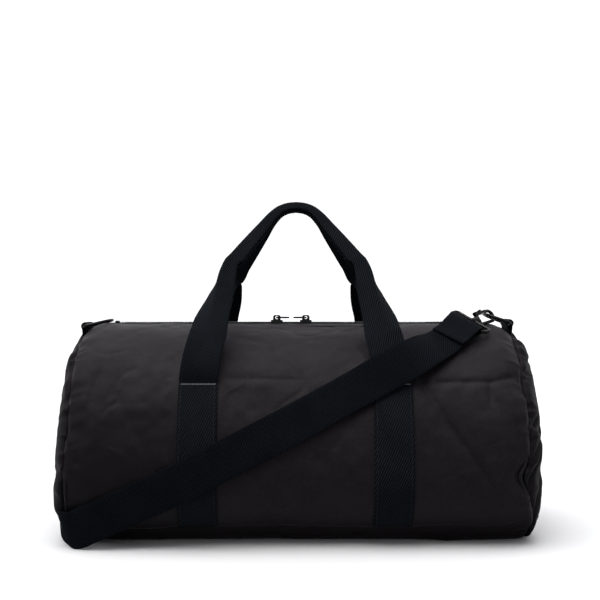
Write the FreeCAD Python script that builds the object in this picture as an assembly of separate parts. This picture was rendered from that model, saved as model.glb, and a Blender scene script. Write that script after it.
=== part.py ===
import FreeCAD, Part
import math
import os

from FreeCAD import Vector

# Barrel duffel bag, in millimetres. +Z is up, X runs along the bag from its left end to its
# right end, -Y is the front. The origin is the middle of the flat base, on the ground.

# Bag body
SEAM_X = 236.5            # end seams, each side of the middle
FULL_X = 205.0            # the barrel keeps its full section out to here
SEAM_SHRINK = 5.0         # how far the section has drawn in at the end seams
SEAM_SINK = 4.0           # and how far its centre has dropped there
HALF_DEPTH = 125.0        # half of the bag's depth, front to back
BASE_FLAT = 45.0          # half width of the part of the base that lies flat
LOW_R = 80.0              # rounding between base and sides
TOP_R = 110.0             # rounding of the top
TOP_Z = 118.0             # height of the top rounding's centre
SKIN = 1.2                # outer fabric with its coating and seam allowances
BASE_SEAM_Z = 23.0        # height of the seam between the base and the side panels
# how far each end stands out from its seam and how far its section has drawn in there; the strap
# pulls the left end flatter
DOME = {"left": [(0.0, 0.0), (3.0, 5.0), (5.8, 14.0), (9.3, 30.0), (13.5, 50.0), (17.0, 68.0)],
        "right": [(0.0, 0.0), (6.5, 4.0), (11.5, 12.0), (15.5, 25.0), (19.5, 43.0), (23.0, 68.0)]}
LINING = 0.5
LINING_INSET = 1.45       # from the bag's outer surface to the lining
LINING_SLOT = 23.0        # half width that the lining leaves free at the zipper
BINDING = (7.3, 12.3)     # inset of the seam binding's outer and inner edge
BINDING_X = (231.5, 234.5)

# Zipper
SLOT = 9.0                # half width of the gap between the front and back panels
ZIP_X = 203.0             # half length of the zipper
TAPE_INSET = (1.25, 1.75)
TAPE_OUT = 22.0
COIL_Y = (0.9, 3.4)
COIL_INSET = (-0.9, 1.1)
STOP_X = (198.0, 202.0)
STOP_HALF = (3.6, 4.5)    # half width of a stop's channel and of the stop
STOP_Z = (-1.0, 1.0, 1.9)  # foot, channel and top of a stop, from the top of the bag
SLIDER_X = {"left": -21.5, "right": 11.0}
SLIDER_LENGTH = 13.0
SLIDER_HALF = 5.2
SLIDER_PLATES = ((-3.4, -2.1), (1.3, 2.7))    # lower and upper plate, from the top of the bag
SLIDER_LIP = 1.0          # thickness of the lips at the upper plate's edges
SLIDER_LIP_Z = -0.8       # how far down they reach
SLIDER_POST = (2.0, 0.5)  # the post's distance from the slider's middle and its half width
SLIDER_CROWN = (4.2, 1.2)  # half length and half width of the crown
SLIDER_CROWN_TOP = 2.9    # top of the crown above the pull's hinge
SLIDER_CROWN_ROUND = 2.4
SLIDER_EYE_R = 1.7        # hole for the pull's end bar
CROWN_Z = 233.4           # height of the pull's hinge in the slider's crown
PULL_LENGTH = 14.0
PULL_WIDTH = 7.4
PULL_WIRE = 1.8

# Webbing, handles
WEB_W = 40.0
WEB_T = 2.2
WEB_GAP = 0.3             # sewn webbing lies this far off the panel
HANDLE_X = 99.5           # middle of each sewn strip
STITCH_Z = 168.0          # cross stitches where the handles leave the bag
HINGE_Y = 86.0
HINGE_Z = 222.0
HINGE_HALF_GAP = 2.6      # from the fold line to either piece of webbing
LOOP_LEAN = 30.4          # the handles lean together by this angle from the vertical
LOOP_FOOT_X = 89.5        # half span of a handle at the fold line
CROWN_ARC_R = 24.0
GRIP_SLOPE = 51.0
LEG_SLOPE = 75.0
LOOP_BEND_R = 40.0
LOOP_RISE = 154.6         # from the fold line to the grip's crown
# width across the arch and thickness of the webbing along a handle: flat in the legs, folded
# in half lengthwise in the grip, and rolled together at the crown
LOOP_SECTIONS = [("crown", 0.0, 10.5, 9.0), ("crown", 17.0, 10.5, 9.0), ("crown", 34.0, 11.0, 9.0),
                 ("grip", 0.0, 12.0, 8.5), ("grip", 0.5, 14.5, 8.0), ("grip", 1.0, 16.0, 8.0),
                 ("bend", 0.5, 16.5, 8.0), ("leg", 0.0, 17.5, 8.0), ("leg", 0.16, 20.5, 7.5),
                 ("leg", 0.31, 24.5, 6.5), ("leg", 0.43, 29.0, 5.0), ("leg", 0.58, 34.0, 3.2),
                 ("leg", 0.8, 36.0, WEB_T), ("leg", 1.0, 36.5, WEB_T)]
LEG_KNEE = (0.5, 0.4, 3.0)  # the webbing bends away from the bag this far inwards, back and up
LEG_BOW = 1.5             # outward bow of the free webbing below the fold line
TACK_T = 0.5
TACK_MARGIN = 1.5         # the cross stitches stop this far from the webbing's edges
TACK_BAND = (5.0, 3.5)    # and run this far below the top of the sewn strip

# D-rings and their tabs
RING_WIRE_R = 1.75
RING_HALF_W = 22.0
RING_SIDE = 6.0           # straight length of a ring's sides
RING_CORNER = 4.0
RING_PLACE = {"left": (-233.5, 224.0, 13.5), "right": (236.6, 227.4, 20.8)}
TAB_HALF_W = 18.0
TAB_HOLE_R = 2.3
TAB_PLY = 2.2
TAB_DROP = 14.0
TAB_PLY_GAP = 0.2

# Swivel hooks; lengths along the hook count from the bar that the strap goes round
EYE_WIRE_R = 1.8
EYE_HALF_W = 23.0
EYE_RISE = 12.5
EYE_CORNER = 4.0
BOSS = (9.6, 15.4, 3.5)   # from, to, radius
POST_R = 1.6
POST_HOLE_R = 1.9
POST_HEAD = (7.4, 9.2, 2.9)
COLLAR = (15.8, 20.0, 3.5)
HOOK_WIRE_R = 1.8
HOOK_HALF_W = 6.3
HOOK_CROWN_U = 44.0
HOOK_TIP_U = 41.0
HOOK_BASE = (20.0, 23.5)
GATE_PIVOT_U = 25.0
GATE_PIN_R = 0.8
GATE_HOLE_R = 0.9
EAR_BORE_R = 0.82
EAR_R = 2.3
EAR_INNER = 0.95
EAR_CLEAR = 0.4
GATE_TANG = 0.6           # half thickness of the gate between the ears
GATE_TANG_R = 1.9
GATE_LINK_HALF = 1.5
GATE_HALF = 1.7
GATE_THUMB = (2.0, 5.0, 3.4)    # from and to above the gate's foot, and how far it stands out
GATE_FOOT_U = 28.0
GATE_TOP_U = 40.5
HOOK_A_BAR = Vector(184.0, -46.3, 228.3)
HOOK_A_RING = Vector(215.1, -14.0, 235.6)     # where the ring's wire passes through the hook
HOOK_A_EYE_DIP = -27.0    # slope of the eye's bar from the back edge of the strap to its front edge
HOOK_A_EYE_WAY = (0.70, -0.72)    # and the level direction it runs in
HOOK_A_TILT = 60.0        # slope of the hook's own plane
HOOK_A_TILT_WAY = (0.71, -0.70)
HOOK_B_BAR = Vector(165.0, 160.0, 5.4)
HOOK_B_DROOP = 2.4

# Shoulder strap
STRAP_LOOP_R = 2.3        # inside of the strap's turn round a bar
# x, y, z of the strap's middle and the tilt of its outer face above the horizontal
STRAP_FRONT = [(168.0, -60.5, 219.0, 58.0), (152.5, -73.0, 209.5, 47.0), (137.0, -87.0, 202.5, 32.0),
               (122.0, -98.5, 195.0, 20.0), (106.5, -104.2, 187.0, 14.0), (90.0, -106.5, 178.5, 14.0),
               (72.0, -108.8, 168.5, 20.0), (40.0, -114.5, 151.0, 23.0), (4.5, -121.0, 132.0, 17.0),
               (-50.0, -127.7, 104.0, 6.0), (-80.0, -130.0, 88.6, 1.0), (-114.5, -130.0, 71.0, -3.0),
               (-135.0, -128.0, 61.0, -6.0), (-165.0, -125.0, 47.5, -8.0), (-190.0, -122.0, 35.5, -7.0),
               (-212.0, -118.5, 25.5, -5.0)]
# x, y of the middle and the direction across the webbing where the strap goes round the end
STRAP_ROUND = [(-222.5, -115.5, (-0.28, -0.10, 0.95)), (-231.0, -111.5, (-0.36, -0.06, 0.93)),
               (-237.0, -102.5, (-0.36, 0.0, 0.93)), (-242.5, -86.0, (-0.22, 0.0, 0.97)),
               (-250.0, -60.0, (-0.08, 0.0, 1.0)), (-257.0, -20.0, (0.0, 0.0, 1.0)),
               (-259.0, 20.0, (0.0, 0.0, 1.0)), (-256.5, 60.0, (0.0, 0.0, 1.0)),
               (-250.0, 93.0, (0.05, 0.05, 1.0)), (-239.0, 121.0, (0.30, 0.25, 0.92)),
               (-220.0, 143.0, (0.45, 0.55, 0.71)), (-196.0, 155.0, (0.30, 0.85, 0.43)),
               (-168.0, 159.5, (0.10, 0.98, 0.12)), (-145.0, 160.0, (0.0, 1.0, 0.0))]
STRAP_LIFT = 0.6          # lowest edge of the webbing above the ground
STRAP_PLY_GAP = 0.25      # between the strap and its sewn end
# x from the slide's middle and height of the strap where it comes along the ground and climbs over
# the slide, and of its return run underneath, back to the slide
OVER_SLIDE = [(-60.0, 1.7), (-26.0, 1.7), (-17.5, 1.9), (-13.0, 3.5), (-9.8, 6.4), (-6.5, 11.4),
              (-3.0, 13.6), (3.0, 13.6), (6.5, 11.4), (9.8, 6.9), (13.0, 4.4), (17.5, 4.3)]
UNDER_SLIDE = [(26.0, 1.7), (15.0, 1.7), (9.0, 2.2), (3.0, 2.5)]
# x from the second hook's bar and height of the strap on its way to the hook and back
TO_HOOK_B = [(-45.0, 4.3), (-20.0, 5.9), (-6.0, 8.8)]
FROM_HOOK_B = [(-8.0, 2.0), (-28.0, 1.7)]
ADJUSTER_X = 20.0
ADJUSTER_HALF = (17.0, 25.0)
ADJUSTER_Z = (6.2, 9.2)
ADJUSTER_BAR = 4.5
ADJUSTER_ROUND = 4.0
ADJUSTER_MIDDLE = 0.35    # the middle bar's half width, as a part of the outer bars' width
ADJUSTER_CLEAR = 1.0      # beside the strap in the slots
END_PLY = 1.4             # the strap's own end, folded thin round the slide's middle bar
END_CLEAR = 0.1

SIDE_R = (HALF_DEPTH ** 2 + (TOP_Z - LOW_R) ** 2 - TOP_R ** 2) / (2.0 * (HALF_DEPTH - TOP_R))
SIDE_C = SIDE_R - HALF_DEPTH
JOIN = Vector(0.0, SIDE_C, TOP_Z - LOW_R).normalize()
X_AXIS = Vector(1.0, 0.0, 0.0)
Y_AXIS = Vector(0.0, 1.0, 0.0)
Z_AXIS = Vector(0.0, 0.0, 1.0)
SIGN = {"left": -1.0, "right": 1.0}


def box(low, high):
    """A box between two opposite corners."""
    size = [b - a for a, b in zip(low, high)]
    return Part.makeBox(size[0], size[1], size[2], Vector(*low))


def fuse(shapes):
    """One clean solid from several that touch."""
    joined = shapes[0]
    for shape in shapes[1:]:
        joined = joined.fuse(shape)
    return joined.removeSplitter()


def save(name, shape):
    """Write one subcomponent."""
    shape.exportStep("parts/%s.step" % name)


def arc(centre, radius, start, end):
    """An arc in the Y-Z plane between two angles in degrees, counted from +Y towards +Z."""
    points = []
    for angle in (start, 0.5 * (start + end), end):
        turn = math.radians(angle)
        points.append(centre + Vector(0.0, radius * math.cos(turn), radius * math.sin(turn)))
    return Part.Arc(*points).toShape()


def section(x, inset, sink=0.0):
    """The bag's cross-section at x, drawn in by inset and lowered by sink."""
    join = math.degrees(math.atan2(JOIN.z, JOIN.y))
    low_z = LOW_R - sink
    base_z = inset - sink
    edges = [
        Part.LineSegment(Vector(x, -BASE_FLAT, base_z), Vector(x, BASE_FLAT, base_z)).toShape(),
        arc(Vector(x, BASE_FLAT, low_z), LOW_R - inset, -90.0, 0.0),
        arc(Vector(x, -SIDE_C, low_z), SIDE_R - inset, 0.0, join),
        arc(Vector(x, 0.0, TOP_Z - sink), TOP_R - inset, join, 180.0 - join),
        arc(Vector(x, SIDE_C, low_z), SIDE_R - inset, 180.0 - join, 180.0),
        arc(Vector(x, -BASE_FLAT, low_z), LOW_R - inset, 180.0, 270.0),
    ]
    return Part.Wire(edges)


def barrel(inset):
    """The body between the end seams, as a solid whose surface lies inset below the fabric."""
    wires = [section(-SEAM_X, inset + SEAM_SHRINK, SEAM_SINK), section(-FULL_X, inset),
             section(FULL_X, inset), section(SEAM_X, inset + SEAM_SHRINK, SEAM_SINK)]
    return Part.makeLoft(wires, True, True)


def dome(side, inset):
    """A bulging end outside the seam, as a solid whose surface lies inset below the fabric."""
    wires = []
    for out, draw in DOME[side]:
        x = SIGN[side] * (SEAM_X + out - inset)
        wires.append(section(x, SEAM_SHRINK + draw + inset, SEAM_SINK))
    return Part.makeLoft(wires, True, True)


def layer(outer, inner):
    """The sheet of the body between two insets."""
    return barrel(outer).cut(barrel(inner))


def strip(inset, x_range, y_range):
    """A strip on the top of the body between two insets and inside an x and y range."""
    window = box((x_range[0], y_range[0], TOP_Z), (x_range[1], y_range[1], TOP_Z + 2.0 * TOP_R))
    return layer(*inset).common(window)


def make_panels():
    """Front, back, base and end panels with their lining and seam bindings."""
    reach = 2.0 * SEAM_X
    skin = layer(0.0, SKIN)
    lower = box((-reach, -reach, -reach), (reach, reach, BASE_SEAM_Z))
    save("bottom_panel", skin.common(lower))
    upper = skin.cut(lower)
    save("front_panel", upper.common(box((-reach, -reach, 0.0), (reach, -SLOT, reach))))
    save("back_panel", upper.common(box((-reach, SLOT, 0.0), (reach, reach, reach))))
    lining = layer(LINING_INSET, LINING_INSET + LINING)
    slot = box((-reach, -LINING_SLOT, TOP_Z), (reach, LINING_SLOT, reach))
    save("body_lining", lining.cut(slot))
    for side, sign in SIGN.items():
        save("end_panel_" + side, dome(side, 0.0).cut(dome(side, SKIN)))
        inner = dome(side, LINING_INSET).cut(dome(side, LINING_INSET + LINING))
        outside = box((SEAM_X, -reach, -reach), (reach, reach, reach))
        if sign < 0.0:
            outside = box((-reach, -reach, -reach), (-SEAM_X, reach, reach))
        save("end_lining_" + side, inner.common(outside))
        start = sign * BINDING_X[0]
        depth = Vector(sign * (BINDING_X[1] - BINDING_X[0]), 0.0, 0.0)
        rings = [Part.Face(section(start, inset, SEAM_SINK)).extrude(depth) for inset in BINDING]
        save("seam_binding_" + side, rings[0].cut(rings[1]))
        ends = sorted((sign * (ZIP_X + 1.0), sign * SEAM_X))
        save("zipper_end_" + side, strip((0.0, SKIN), ends, (-SLOT, SLOT)))


def make_zipper():
    """Tapes, coils, stops, and two sliders with ring pulls."""
    run = (-ZIP_X, ZIP_X)
    save("zipper_tape_front", strip(TAPE_INSET, run, (-TAPE_OUT, -COIL_Y[0])))
    save("zipper_tape_back", strip(TAPE_INSET, run, (COIL_Y[0], TAPE_OUT)))
    save("zipper_coil_front", strip(COIL_INSET, run, (-COIL_Y[1], -COIL_Y[0])))
    save("zipper_coil_back", strip(COIL_INSET, run, (COIL_Y[0], COIL_Y[1])))
    top = TOP_Z + TOP_R
    for side, sign in SIGN.items():
        ends = sorted(sign * x for x in STOP_X)
        foot, roof, crest = [top + z for z in STOP_Z]
        inner, outer = STOP_HALF
        block = box((ends[0], -outer, foot), (ends[1], outer, crest))
        channel = box((ends[0] - 1.0, -inner, foot - 1.0), (ends[1] + 1.0, inner, roof))
        save("zipper_stop_" + side, block.cut(channel))
        save("slider_" + side, make_slider(SLIDER_X[side], sign))
        save("pull_" + side, make_pull(SLIDER_X[side], sign))


def make_slider(x, sign):
    """A slider: plates above and below the coil, lips, a post between its halves and a crown."""
    half = 0.5 * SLIDER_LENGTH
    top = TOP_Z + TOP_R
    (floor, lower), (upper, roof) = [[top + z for z in plate] for plate in SLIDER_PLATES]
    lip = SLIDER_HALF - SLIDER_LIP
    behind, post_half = SLIDER_POST
    post = sorted((x - sign * half, x - sign * behind))
    crown_half, crown_deep = SLIDER_CROWN
    crown = box((x - crown_half, -crown_deep, roof), (x + crown_half, crown_deep, CROWN_Z + SLIDER_CROWN_TOP))
    edges = [e for e in crown.Edges if abs(e.tangentAt(e.FirstParameter).y) > 0.9
             and e.CenterOfMass.z > CROWN_Z]
    parts = [
        box((x - half, -SLIDER_HALF, upper), (x + half, SLIDER_HALF, roof)),
        box((x - half, -SLIDER_HALF, floor), (x + half, SLIDER_HALF, lower)),
        box((x - half, -SLIDER_HALF, top + SLIDER_LIP_Z), (x + half, -lip, upper)),
        box((x - half, lip, top + SLIDER_LIP_Z), (x + half, SLIDER_HALF, upper)),
        box((post[0], -post_half, lower), (post[1], post_half, upper)),
        crown.makeFillet(SLIDER_CROWN_ROUND, edges),
    ]
    hole = Part.makeCylinder(SLIDER_EYE_R, 4.0 * crown_deep, Vector(x, -2.0 * crown_deep, CROWN_Z), Y_AXIS)
    return fuse(parts).cut(hole)


def racetrack(x0, x1, half_y, z):
    """A closed outline with round ends between x0 and x1."""
    centres = [Vector(x1 - half_y, 0.0, z), Vector(x0 + half_y, 0.0, z)]
    side = Vector(0.0, half_y, 0.0)
    edges = [
        Part.Arc(centres[0] - side, Vector(x1, 0.0, z), centres[0] + side).toShape(),
        Part.LineSegment(centres[0] + side, centres[1] + side).toShape(),
        Part.Arc(centres[1] + side, Vector(x0, 0.0, z), centres[1] - side).toShape(),
        Part.LineSegment(centres[1] - side, centres[0] - side).toShape(),
    ]
    return Part.Face(Part.Wire(edges))


def make_pull(x, sign):
    """A ring pull, lying towards the middle of the bag with its end bar in the crown."""
    low = CROWN_Z - 0.5 * PULL_WIRE
    edge = 0.5 * PULL_WIRE
    outline = racetrack(-edge, PULL_LENGTH, 0.5 * PULL_WIDTH, low)
    hole = racetrack(edge, PULL_LENGTH - PULL_WIRE, 0.5 * PULL_WIDTH - PULL_WIRE, low)
    ring = outline.cut(hole).extrude(Vector(0.0, 0.0, PULL_WIRE))
    if sign > 0.0:
        ring.rotate(Vector(0.0, 0.0, CROWN_Z), Z_AXIS, 180.0)
    ring.translate(Vector(x, 0.0, 0.0))
    return ring


def ribbon(stations, width, thickness):
    """Webbing through stations, each a middle point and the direction across the webbing."""
    wires = []
    for i, (middle, across) in enumerate(stations):
        before = stations[max(i - 1, 0)][0]
        after = stations[min(i + 1, len(stations) - 1)][0]
        along = (after - before).normalize()
        side = (across - along * along.dot(across)).normalize() * (0.5 * width)
        face = along.cross(side).normalize() * (0.5 * thickness)
        corners = [middle + side + face, middle - side + face, middle - side - face, middle + side - face]
        wires.append(Part.makePolygon(corners + corners[:1]))
    return Part.makeLoft(wires, True, True)


def make_anchors():
    """The four sewn webbing strips with their free tops, and the cross stitches."""
    outer = WEB_GAP + WEB_T
    reach = 2.0 * SEAM_X
    wide = 0.5 * WEB_W
    inwards, back, rise = LEG_KNEE
    tacks = []
    for face, front in (("front", -1.0), ("back", 1.0)):
        for side, sign in SIGN.items():
            middle = sign * HANDLE_X
            sheets = [Part.Face(section(middle - wide, -inset)).extrude(Vector(WEB_W, 0.0, 0.0))
                      for inset in (outer, WEB_GAP)]
            rows = sorted((front * reach, 0.0))
            window = box((-reach, rows[0], BASE_SEAM_Z), (reach, rows[1], STITCH_Z))
            sewn = sheets[0].cut(sheets[1]).common(window)
            low_y = SIDE_R + WEB_GAP + 0.5 * WEB_T
            low_y = math.sqrt(low_y ** 2 - (STITCH_Z - LOW_R) ** 2) - SIDE_C
            low = Vector(middle, front * low_y, STITCH_Z)
            high = Vector(sign * LOOP_FOOT_X, front * HINGE_Y, HINGE_Z)
            lean = math.radians(LOOP_LEAN)
            up = Vector(0.0, -front * math.sin(lean), math.cos(lean))
            high = high - up * HINGE_HALF_GAP
            knee = low + Vector(-sign * inwards, -front * back, rise)
            mid = (knee + high) * 0.5 + Vector(0.0, front * LEG_BOW, 0.0)
            free = ribbon([(low, X_AXIS), (knee, X_AXIS), (mid, X_AXIS), (high, X_AXIS)], WEB_W, WEB_T)
            over = box((-reach, -reach, STITCH_Z), (reach, reach, reach))
            save("handle_anchor_%s_%s" % (face, side), fuse([sewn, free.common(over)]))
            tack = Vector(WEB_W - 2.0 * TACK_MARGIN, 0.0, 0.0)
            skins = [Part.Face(section(middle - wide + TACK_MARGIN, -inset)).extrude(tack)
                     for inset in (outer + TACK_T, outer)]
            band = box((-reach, rows[0], STITCH_Z - TACK_BAND[0]), (reach, rows[1], STITCH_Z - TACK_BAND[1]))
            tacks.append(skins[0].cut(skins[1]).common(band))
    save("handle_cross_stitches", Part.makeCompound(tacks))


def arch_point(angle_or_run, stage):
    """A point and its tangent on the right half of a handle's arch, in the X-S plane."""
    grip = math.radians(GRIP_SLOPE)
    leg = math.radians(LEG_SLOPE)
    crown_top = Vector(0.0, 0.0, LOOP_RISE - CROWN_ARC_R)
    crown_end = crown_top + Vector(math.sin(grip), 0.0, math.cos(grip)) * CROWN_ARC_R
    down = Vector(math.cos(grip), 0.0, -math.sin(grip))
    steep = Vector(math.cos(leg), 0.0, -math.sin(leg))
    foot = Vector(LOOP_FOOT_X, 0.0, 0.0)
    # the two straight runs meet where crown_end + a * down = foot - b * steep
    gap = foot - crown_end
    run = (gap.x * steep.z - gap.z * steep.x) / (down.x * steep.z - down.z * steep.x)
    corner = crown_end + down * run
    trim = LOOP_BEND_R * math.tan(0.5 * (leg - grip))
    if stage == "crown":
        turn = math.radians(angle_or_run)
        return (crown_top + Vector(math.sin(turn), 0.0, math.cos(turn)) * CROWN_ARC_R,
                Vector(math.cos(turn), 0.0, -math.sin(turn)))
    if stage == "grip":
        return crown_end + down * ((run - trim) * angle_or_run), down
    if stage == "bend":
        turn = grip + (leg - grip) * angle_or_run
        centre = corner - down * trim - Vector(math.sin(grip), 0.0, math.cos(grip)) * LOOP_BEND_R
        return (centre + Vector(math.sin(turn), 0.0, math.cos(turn)) * LOOP_BEND_R,
                Vector(math.cos(turn), 0.0, -math.sin(turn)))
    start = corner + steep * trim
    return start + (foot - start) * angle_or_run, steep


def make_handle_loops():
    """The two carrying loops: flat webbing legs that fold together into a rounded grip."""
    half = []
    for stage, place, radial, depth in LOOP_SECTIONS:
        point, along = arch_point(place, stage)
        if (stage, place) == ("leg", 1.0):
            point = point - along * (HINGE_HALF_GAP / abs(along.z))
            along = X_AXIS.cross(Y_AXIS) * -1.0
            radial = radial / abs(math.sin(math.radians(LEG_SLOPE)))
        half.append((point, along, radial, depth))
    left = [(Vector(-p.x, 0.0, p.z), Vector(a.x, 0.0, -a.z), r, d) for p, a, r, d in half[1:]]
    wires = []
    for point, along, radial, depth in left[::-1] + half:
        side = along.cross(Y_AXIS).normalize() * (0.5 * radial)
        deep = Y_AXIS * (0.5 * depth)
        corners = [point + side + deep, point - side + deep, point - side - deep, point + side - deep]
        wires.append(Part.makePolygon(corners + corners[:1]))
    loop = Part.makeLoft(wires, True, True)
    for face, front in (("front", -1.0), ("back", 1.0)):
        copy = loop.copy()
        copy.translate(Vector(0.0, front * HINGE_Y, HINGE_Z))
        copy.rotate(Vector(0.0, front * HINGE_Y, HINGE_Z), X_AXIS, front * LOOP_LEAN)
        save("handle_loop_" + face, copy)


def rounded_frame(half_w, rise, corner, wire_r):
    """A ring of round wire in the X-Y plane, its bar along Y at x = 0 and its far side at x = rise."""
    q = corner * (1.0 - math.sqrt(0.5))
    points = [(0.0, corner - half_w), (0.0, half_w - corner), (corner, half_w),
              (rise - corner, half_w), (rise, half_w - corner), (rise, corner - half_w),
              (rise - corner, -half_w), (corner, -half_w)]
    mids = [(q, half_w - q), (rise - q, half_w - q), (rise - q, q - half_w), (q, q - half_w)]
    ends = [Vector(x, y, 0.0) for x, y in points]
    edges = []
    for i in range(4):
        a = ends[2 * i]
        b = ends[2 * i + 1]
        c = ends[(2 * i + 2) % 8]
        edges.append(Part.LineSegment(a, b).toShape())
        edges.append(Part.Arc(b, Vector(mids[i][0], mids[i][1], 0.0), c).toShape())
    profile = Part.Wire(Part.Circle(Vector(0.0, 0.0, 0.0), Y_AXIS, wire_r).toShape())
    return Part.Wire(edges).makePipeShell([profile], True, True)


def d_ring():
    """A D-ring in the X-Y plane, its straight bar along Y at x = 0."""
    q = RING_CORNER * (1.0 - math.sqrt(0.5))
    w = RING_HALF_W
    c = RING_CORNER
    edges = [
        Part.LineSegment(Vector(0.0, c - w, 0.0), Vector(0.0, w - c, 0.0)).toShape(),
        Part.Arc(Vector(0.0, w - c, 0.0), Vector(q, w - q, 0.0), Vector(c, w, 0.0)).toShape(),
        Part.LineSegment(Vector(c, w, 0.0), Vector(RING_SIDE, w, 0.0)).toShape(),
        Part.Arc(Vector(RING_SIDE, w, 0.0), Vector(RING_SIDE + w, 0.0, 0.0),
                 Vector(RING_SIDE, -w, 0.0)).toShape(),
        Part.LineSegment(Vector(RING_SIDE, -w, 0.0), Vector(c, -w, 0.0)).toShape(),
        Part.Arc(Vector(c, -w, 0.0), Vector(q, q - w, 0.0), Vector(0.0, c - w, 0.0)).toShape(),
    ]
    profile = Part.Wire(Part.Circle(Vector(0.0, 0.0, 0.0), Y_AXIS, RING_WIRE_R).toShape())
    return Part.Wire(edges).makePipeShell([profile], True, True)


def make_rings():
    """The D-rings at the tops of the ends and the webbing tabs that hold them."""
    for side, sign in SIGN.items():
        x, z, lift = RING_PLACE[side]
        ring = d_ring()
        if sign > 0.0:
            ring.rotate(Vector(0.0, 0.0, 0.0), Z_AXIS, 180.0)
        ring.rotate(Vector(0.0, 0.0, 0.0), Y_AXIS, sign * lift)
        ring.translate(Vector(x, 0.0, z))
        save("d_ring_" + side, ring)
        outer = TAB_HOLE_R + TAB_PLY
        roll = Part.makeCylinder(outer, 2.0 * TAB_HALF_W, Vector(x, -TAB_HALF_W, z), Y_AXIS)
        half = TAB_PLY + TAB_PLY_GAP
        plies = box((x - half, -TAB_HALF_W, z - TAB_DROP), (x + half, TAB_HALF_W, z))
        hole = Part.makeCylinder(TAB_HOLE_R, 2.0 * TAB_HALF_W, Vector(x, -TAB_HALF_W, z), Y_AXIS)
        tab = roll.fuse(plies).cut(hole).cut(barrel(0.0)).cut(dome(side, 0.0)).removeSplitter()
        save("d_ring_tab_" + side, max(tab.Solids, key=lambda solid: solid.Volume))


def frame_of(origin, along, across):
    """The placement that carries local X to along, local Y near to across, and 0 to origin."""
    x = Vector(along).normalize()
    y = (across - x * x.dot(across)).normalize()
    z = x.cross(y)
    matrix = FreeCAD.Matrix(x.x, y.x, z.x, origin.x, x.y, y.y, z.y, origin.y,
                            x.z, y.z, z.z, origin.z, 0.0, 0.0, 0.0, 1.0)
    return FreeCAD.Placement(matrix)


def cylinder_u(start, end, radius, y=0.0):
    """A cylinder along the hook."""
    return Part.makeCylinder(radius, end - start, Vector(start, y, 0.0), X_AXIS)


def hook_eye():
    """The rectangular eye for the strap, with a bored boss for the swivel."""
    ring = rounded_frame(EYE_HALF_W, EYE_RISE, EYE_CORNER, EYE_WIRE_R)
    boss = cylinder_u(*BOSS)
    return fuse([ring, boss]).cut(cylinder_u(BOSS[0] - 1.0, BOSS[1] + 1.0, POST_HOLE_R))


def hook_body():
    """The turning hook: swivel post with its head, collar, base with two ears, spine and crown."""
    w = HOOK_HALF_W
    post = [cylinder_u(POST_HEAD[0], POST_HEAD[1], POST_HEAD[2]),
            cylinder_u(POST_HEAD[1], COLLAR[0], POST_R), cylinder_u(*COLLAR)]
    base = box((HOOK_BASE[0], -w - EAR_R, -HOOK_WIRE_R), (HOOK_BASE[1], w + HOOK_WIRE_R, HOOK_WIRE_R))
    ears = Part.makeCylinder(EAR_R, 2.0 * HOOK_WIRE_R, Vector(GATE_PIVOT_U, -w, -HOOK_WIRE_R), Z_AXIS)
    path = Part.Wire([
        Part.LineSegment(Vector(HOOK_BASE[0] + 1.0, w, 0.0), Vector(HOOK_CROWN_U, w, 0.0)).toShape(),
        Part.Arc(Vector(HOOK_CROWN_U, w, 0.0), Vector(HOOK_CROWN_U + w, 0.0, 0.0),
                 Vector(HOOK_CROWN_U, -w, 0.0)).toShape(),
        Part.LineSegment(Vector(HOOK_CROWN_U, -w, 0.0), Vector(HOOK_TIP_U, -w, 0.0)).toShape()])
    start = Vector(HOOK_BASE[0] + 1.0, w, 0.0)
    wire = path.makePipeShell([Part.Wire(Part.Circle(start, X_AXIS, HOOK_WIRE_R).toShape())], True, True)
    slot_w = 2.0 * EAR_R
    slot = box((GATE_PIVOT_U - EAR_R - EAR_CLEAR, -w - slot_w, -EAR_INNER),
               (GATE_FOOT_U, slot_w - w, EAR_INNER))
    pin_foot = Vector(GATE_PIVOT_U, -w, -2.0 * HOOK_WIRE_R)
    bore = Part.makeCylinder(EAR_BORE_R, 4.0 * HOOK_WIRE_R, pin_foot, Z_AXIS)
    return fuse(post + [base, ears, wire]).cut(slot).cut(bore)


def hook_gate():
    """The spring gate between the ears and the hook's tip."""
    w = HOOK_HALF_W
    h = GATE_HALF
    low, high, out = GATE_THUMB
    tang = Part.makeCylinder(GATE_TANG_R, 2.0 * GATE_TANG, Vector(GATE_PIVOT_U, -w, -GATE_TANG), Z_AXIS)
    link = box((GATE_PIVOT_U, -w - GATE_LINK_HALF, -GATE_TANG),
               (GATE_FOOT_U + 1.0, GATE_LINK_HALF - w, GATE_TANG))
    bar = box((GATE_FOOT_U, -w - h, -h), (GATE_TOP_U, h - w, h))
    thumb = box((GATE_FOOT_U + low, -w - out, -h), (GATE_FOOT_U + high, -w - h, h))
    bore = Part.makeCylinder(GATE_HOLE_R, 4.0 * h, Vector(GATE_PIVOT_U, -w, -2.0 * h), Z_AXIS)
    return fuse([tang, link, bar, thumb]).cut(bore)


def make_hook(letter, bar, along, eye_across, hook_across):
    """Place one swivel hook: its eye on the strap and its hook turned on the swivel."""
    eye_frame = frame_of(bar, along, eye_across)
    hook_frame = frame_of(bar, along, hook_across)
    pin = Part.makeCylinder(GATE_PIN_R, 2.0 * HOOK_WIRE_R,
                            Vector(GATE_PIVOT_U, -HOOK_HALF_W, -HOOK_WIRE_R), Z_AXIS)
    shapes = {"eye": (hook_eye(), eye_frame), "body": (hook_body(), hook_frame),
              "gate": (hook_gate(), hook_frame), "pin": (pin, hook_frame)}
    for part, (shape, place) in shapes.items():
        shape.Placement = place
        save("hook_%s_%s" % (letter, part), shape)


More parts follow.
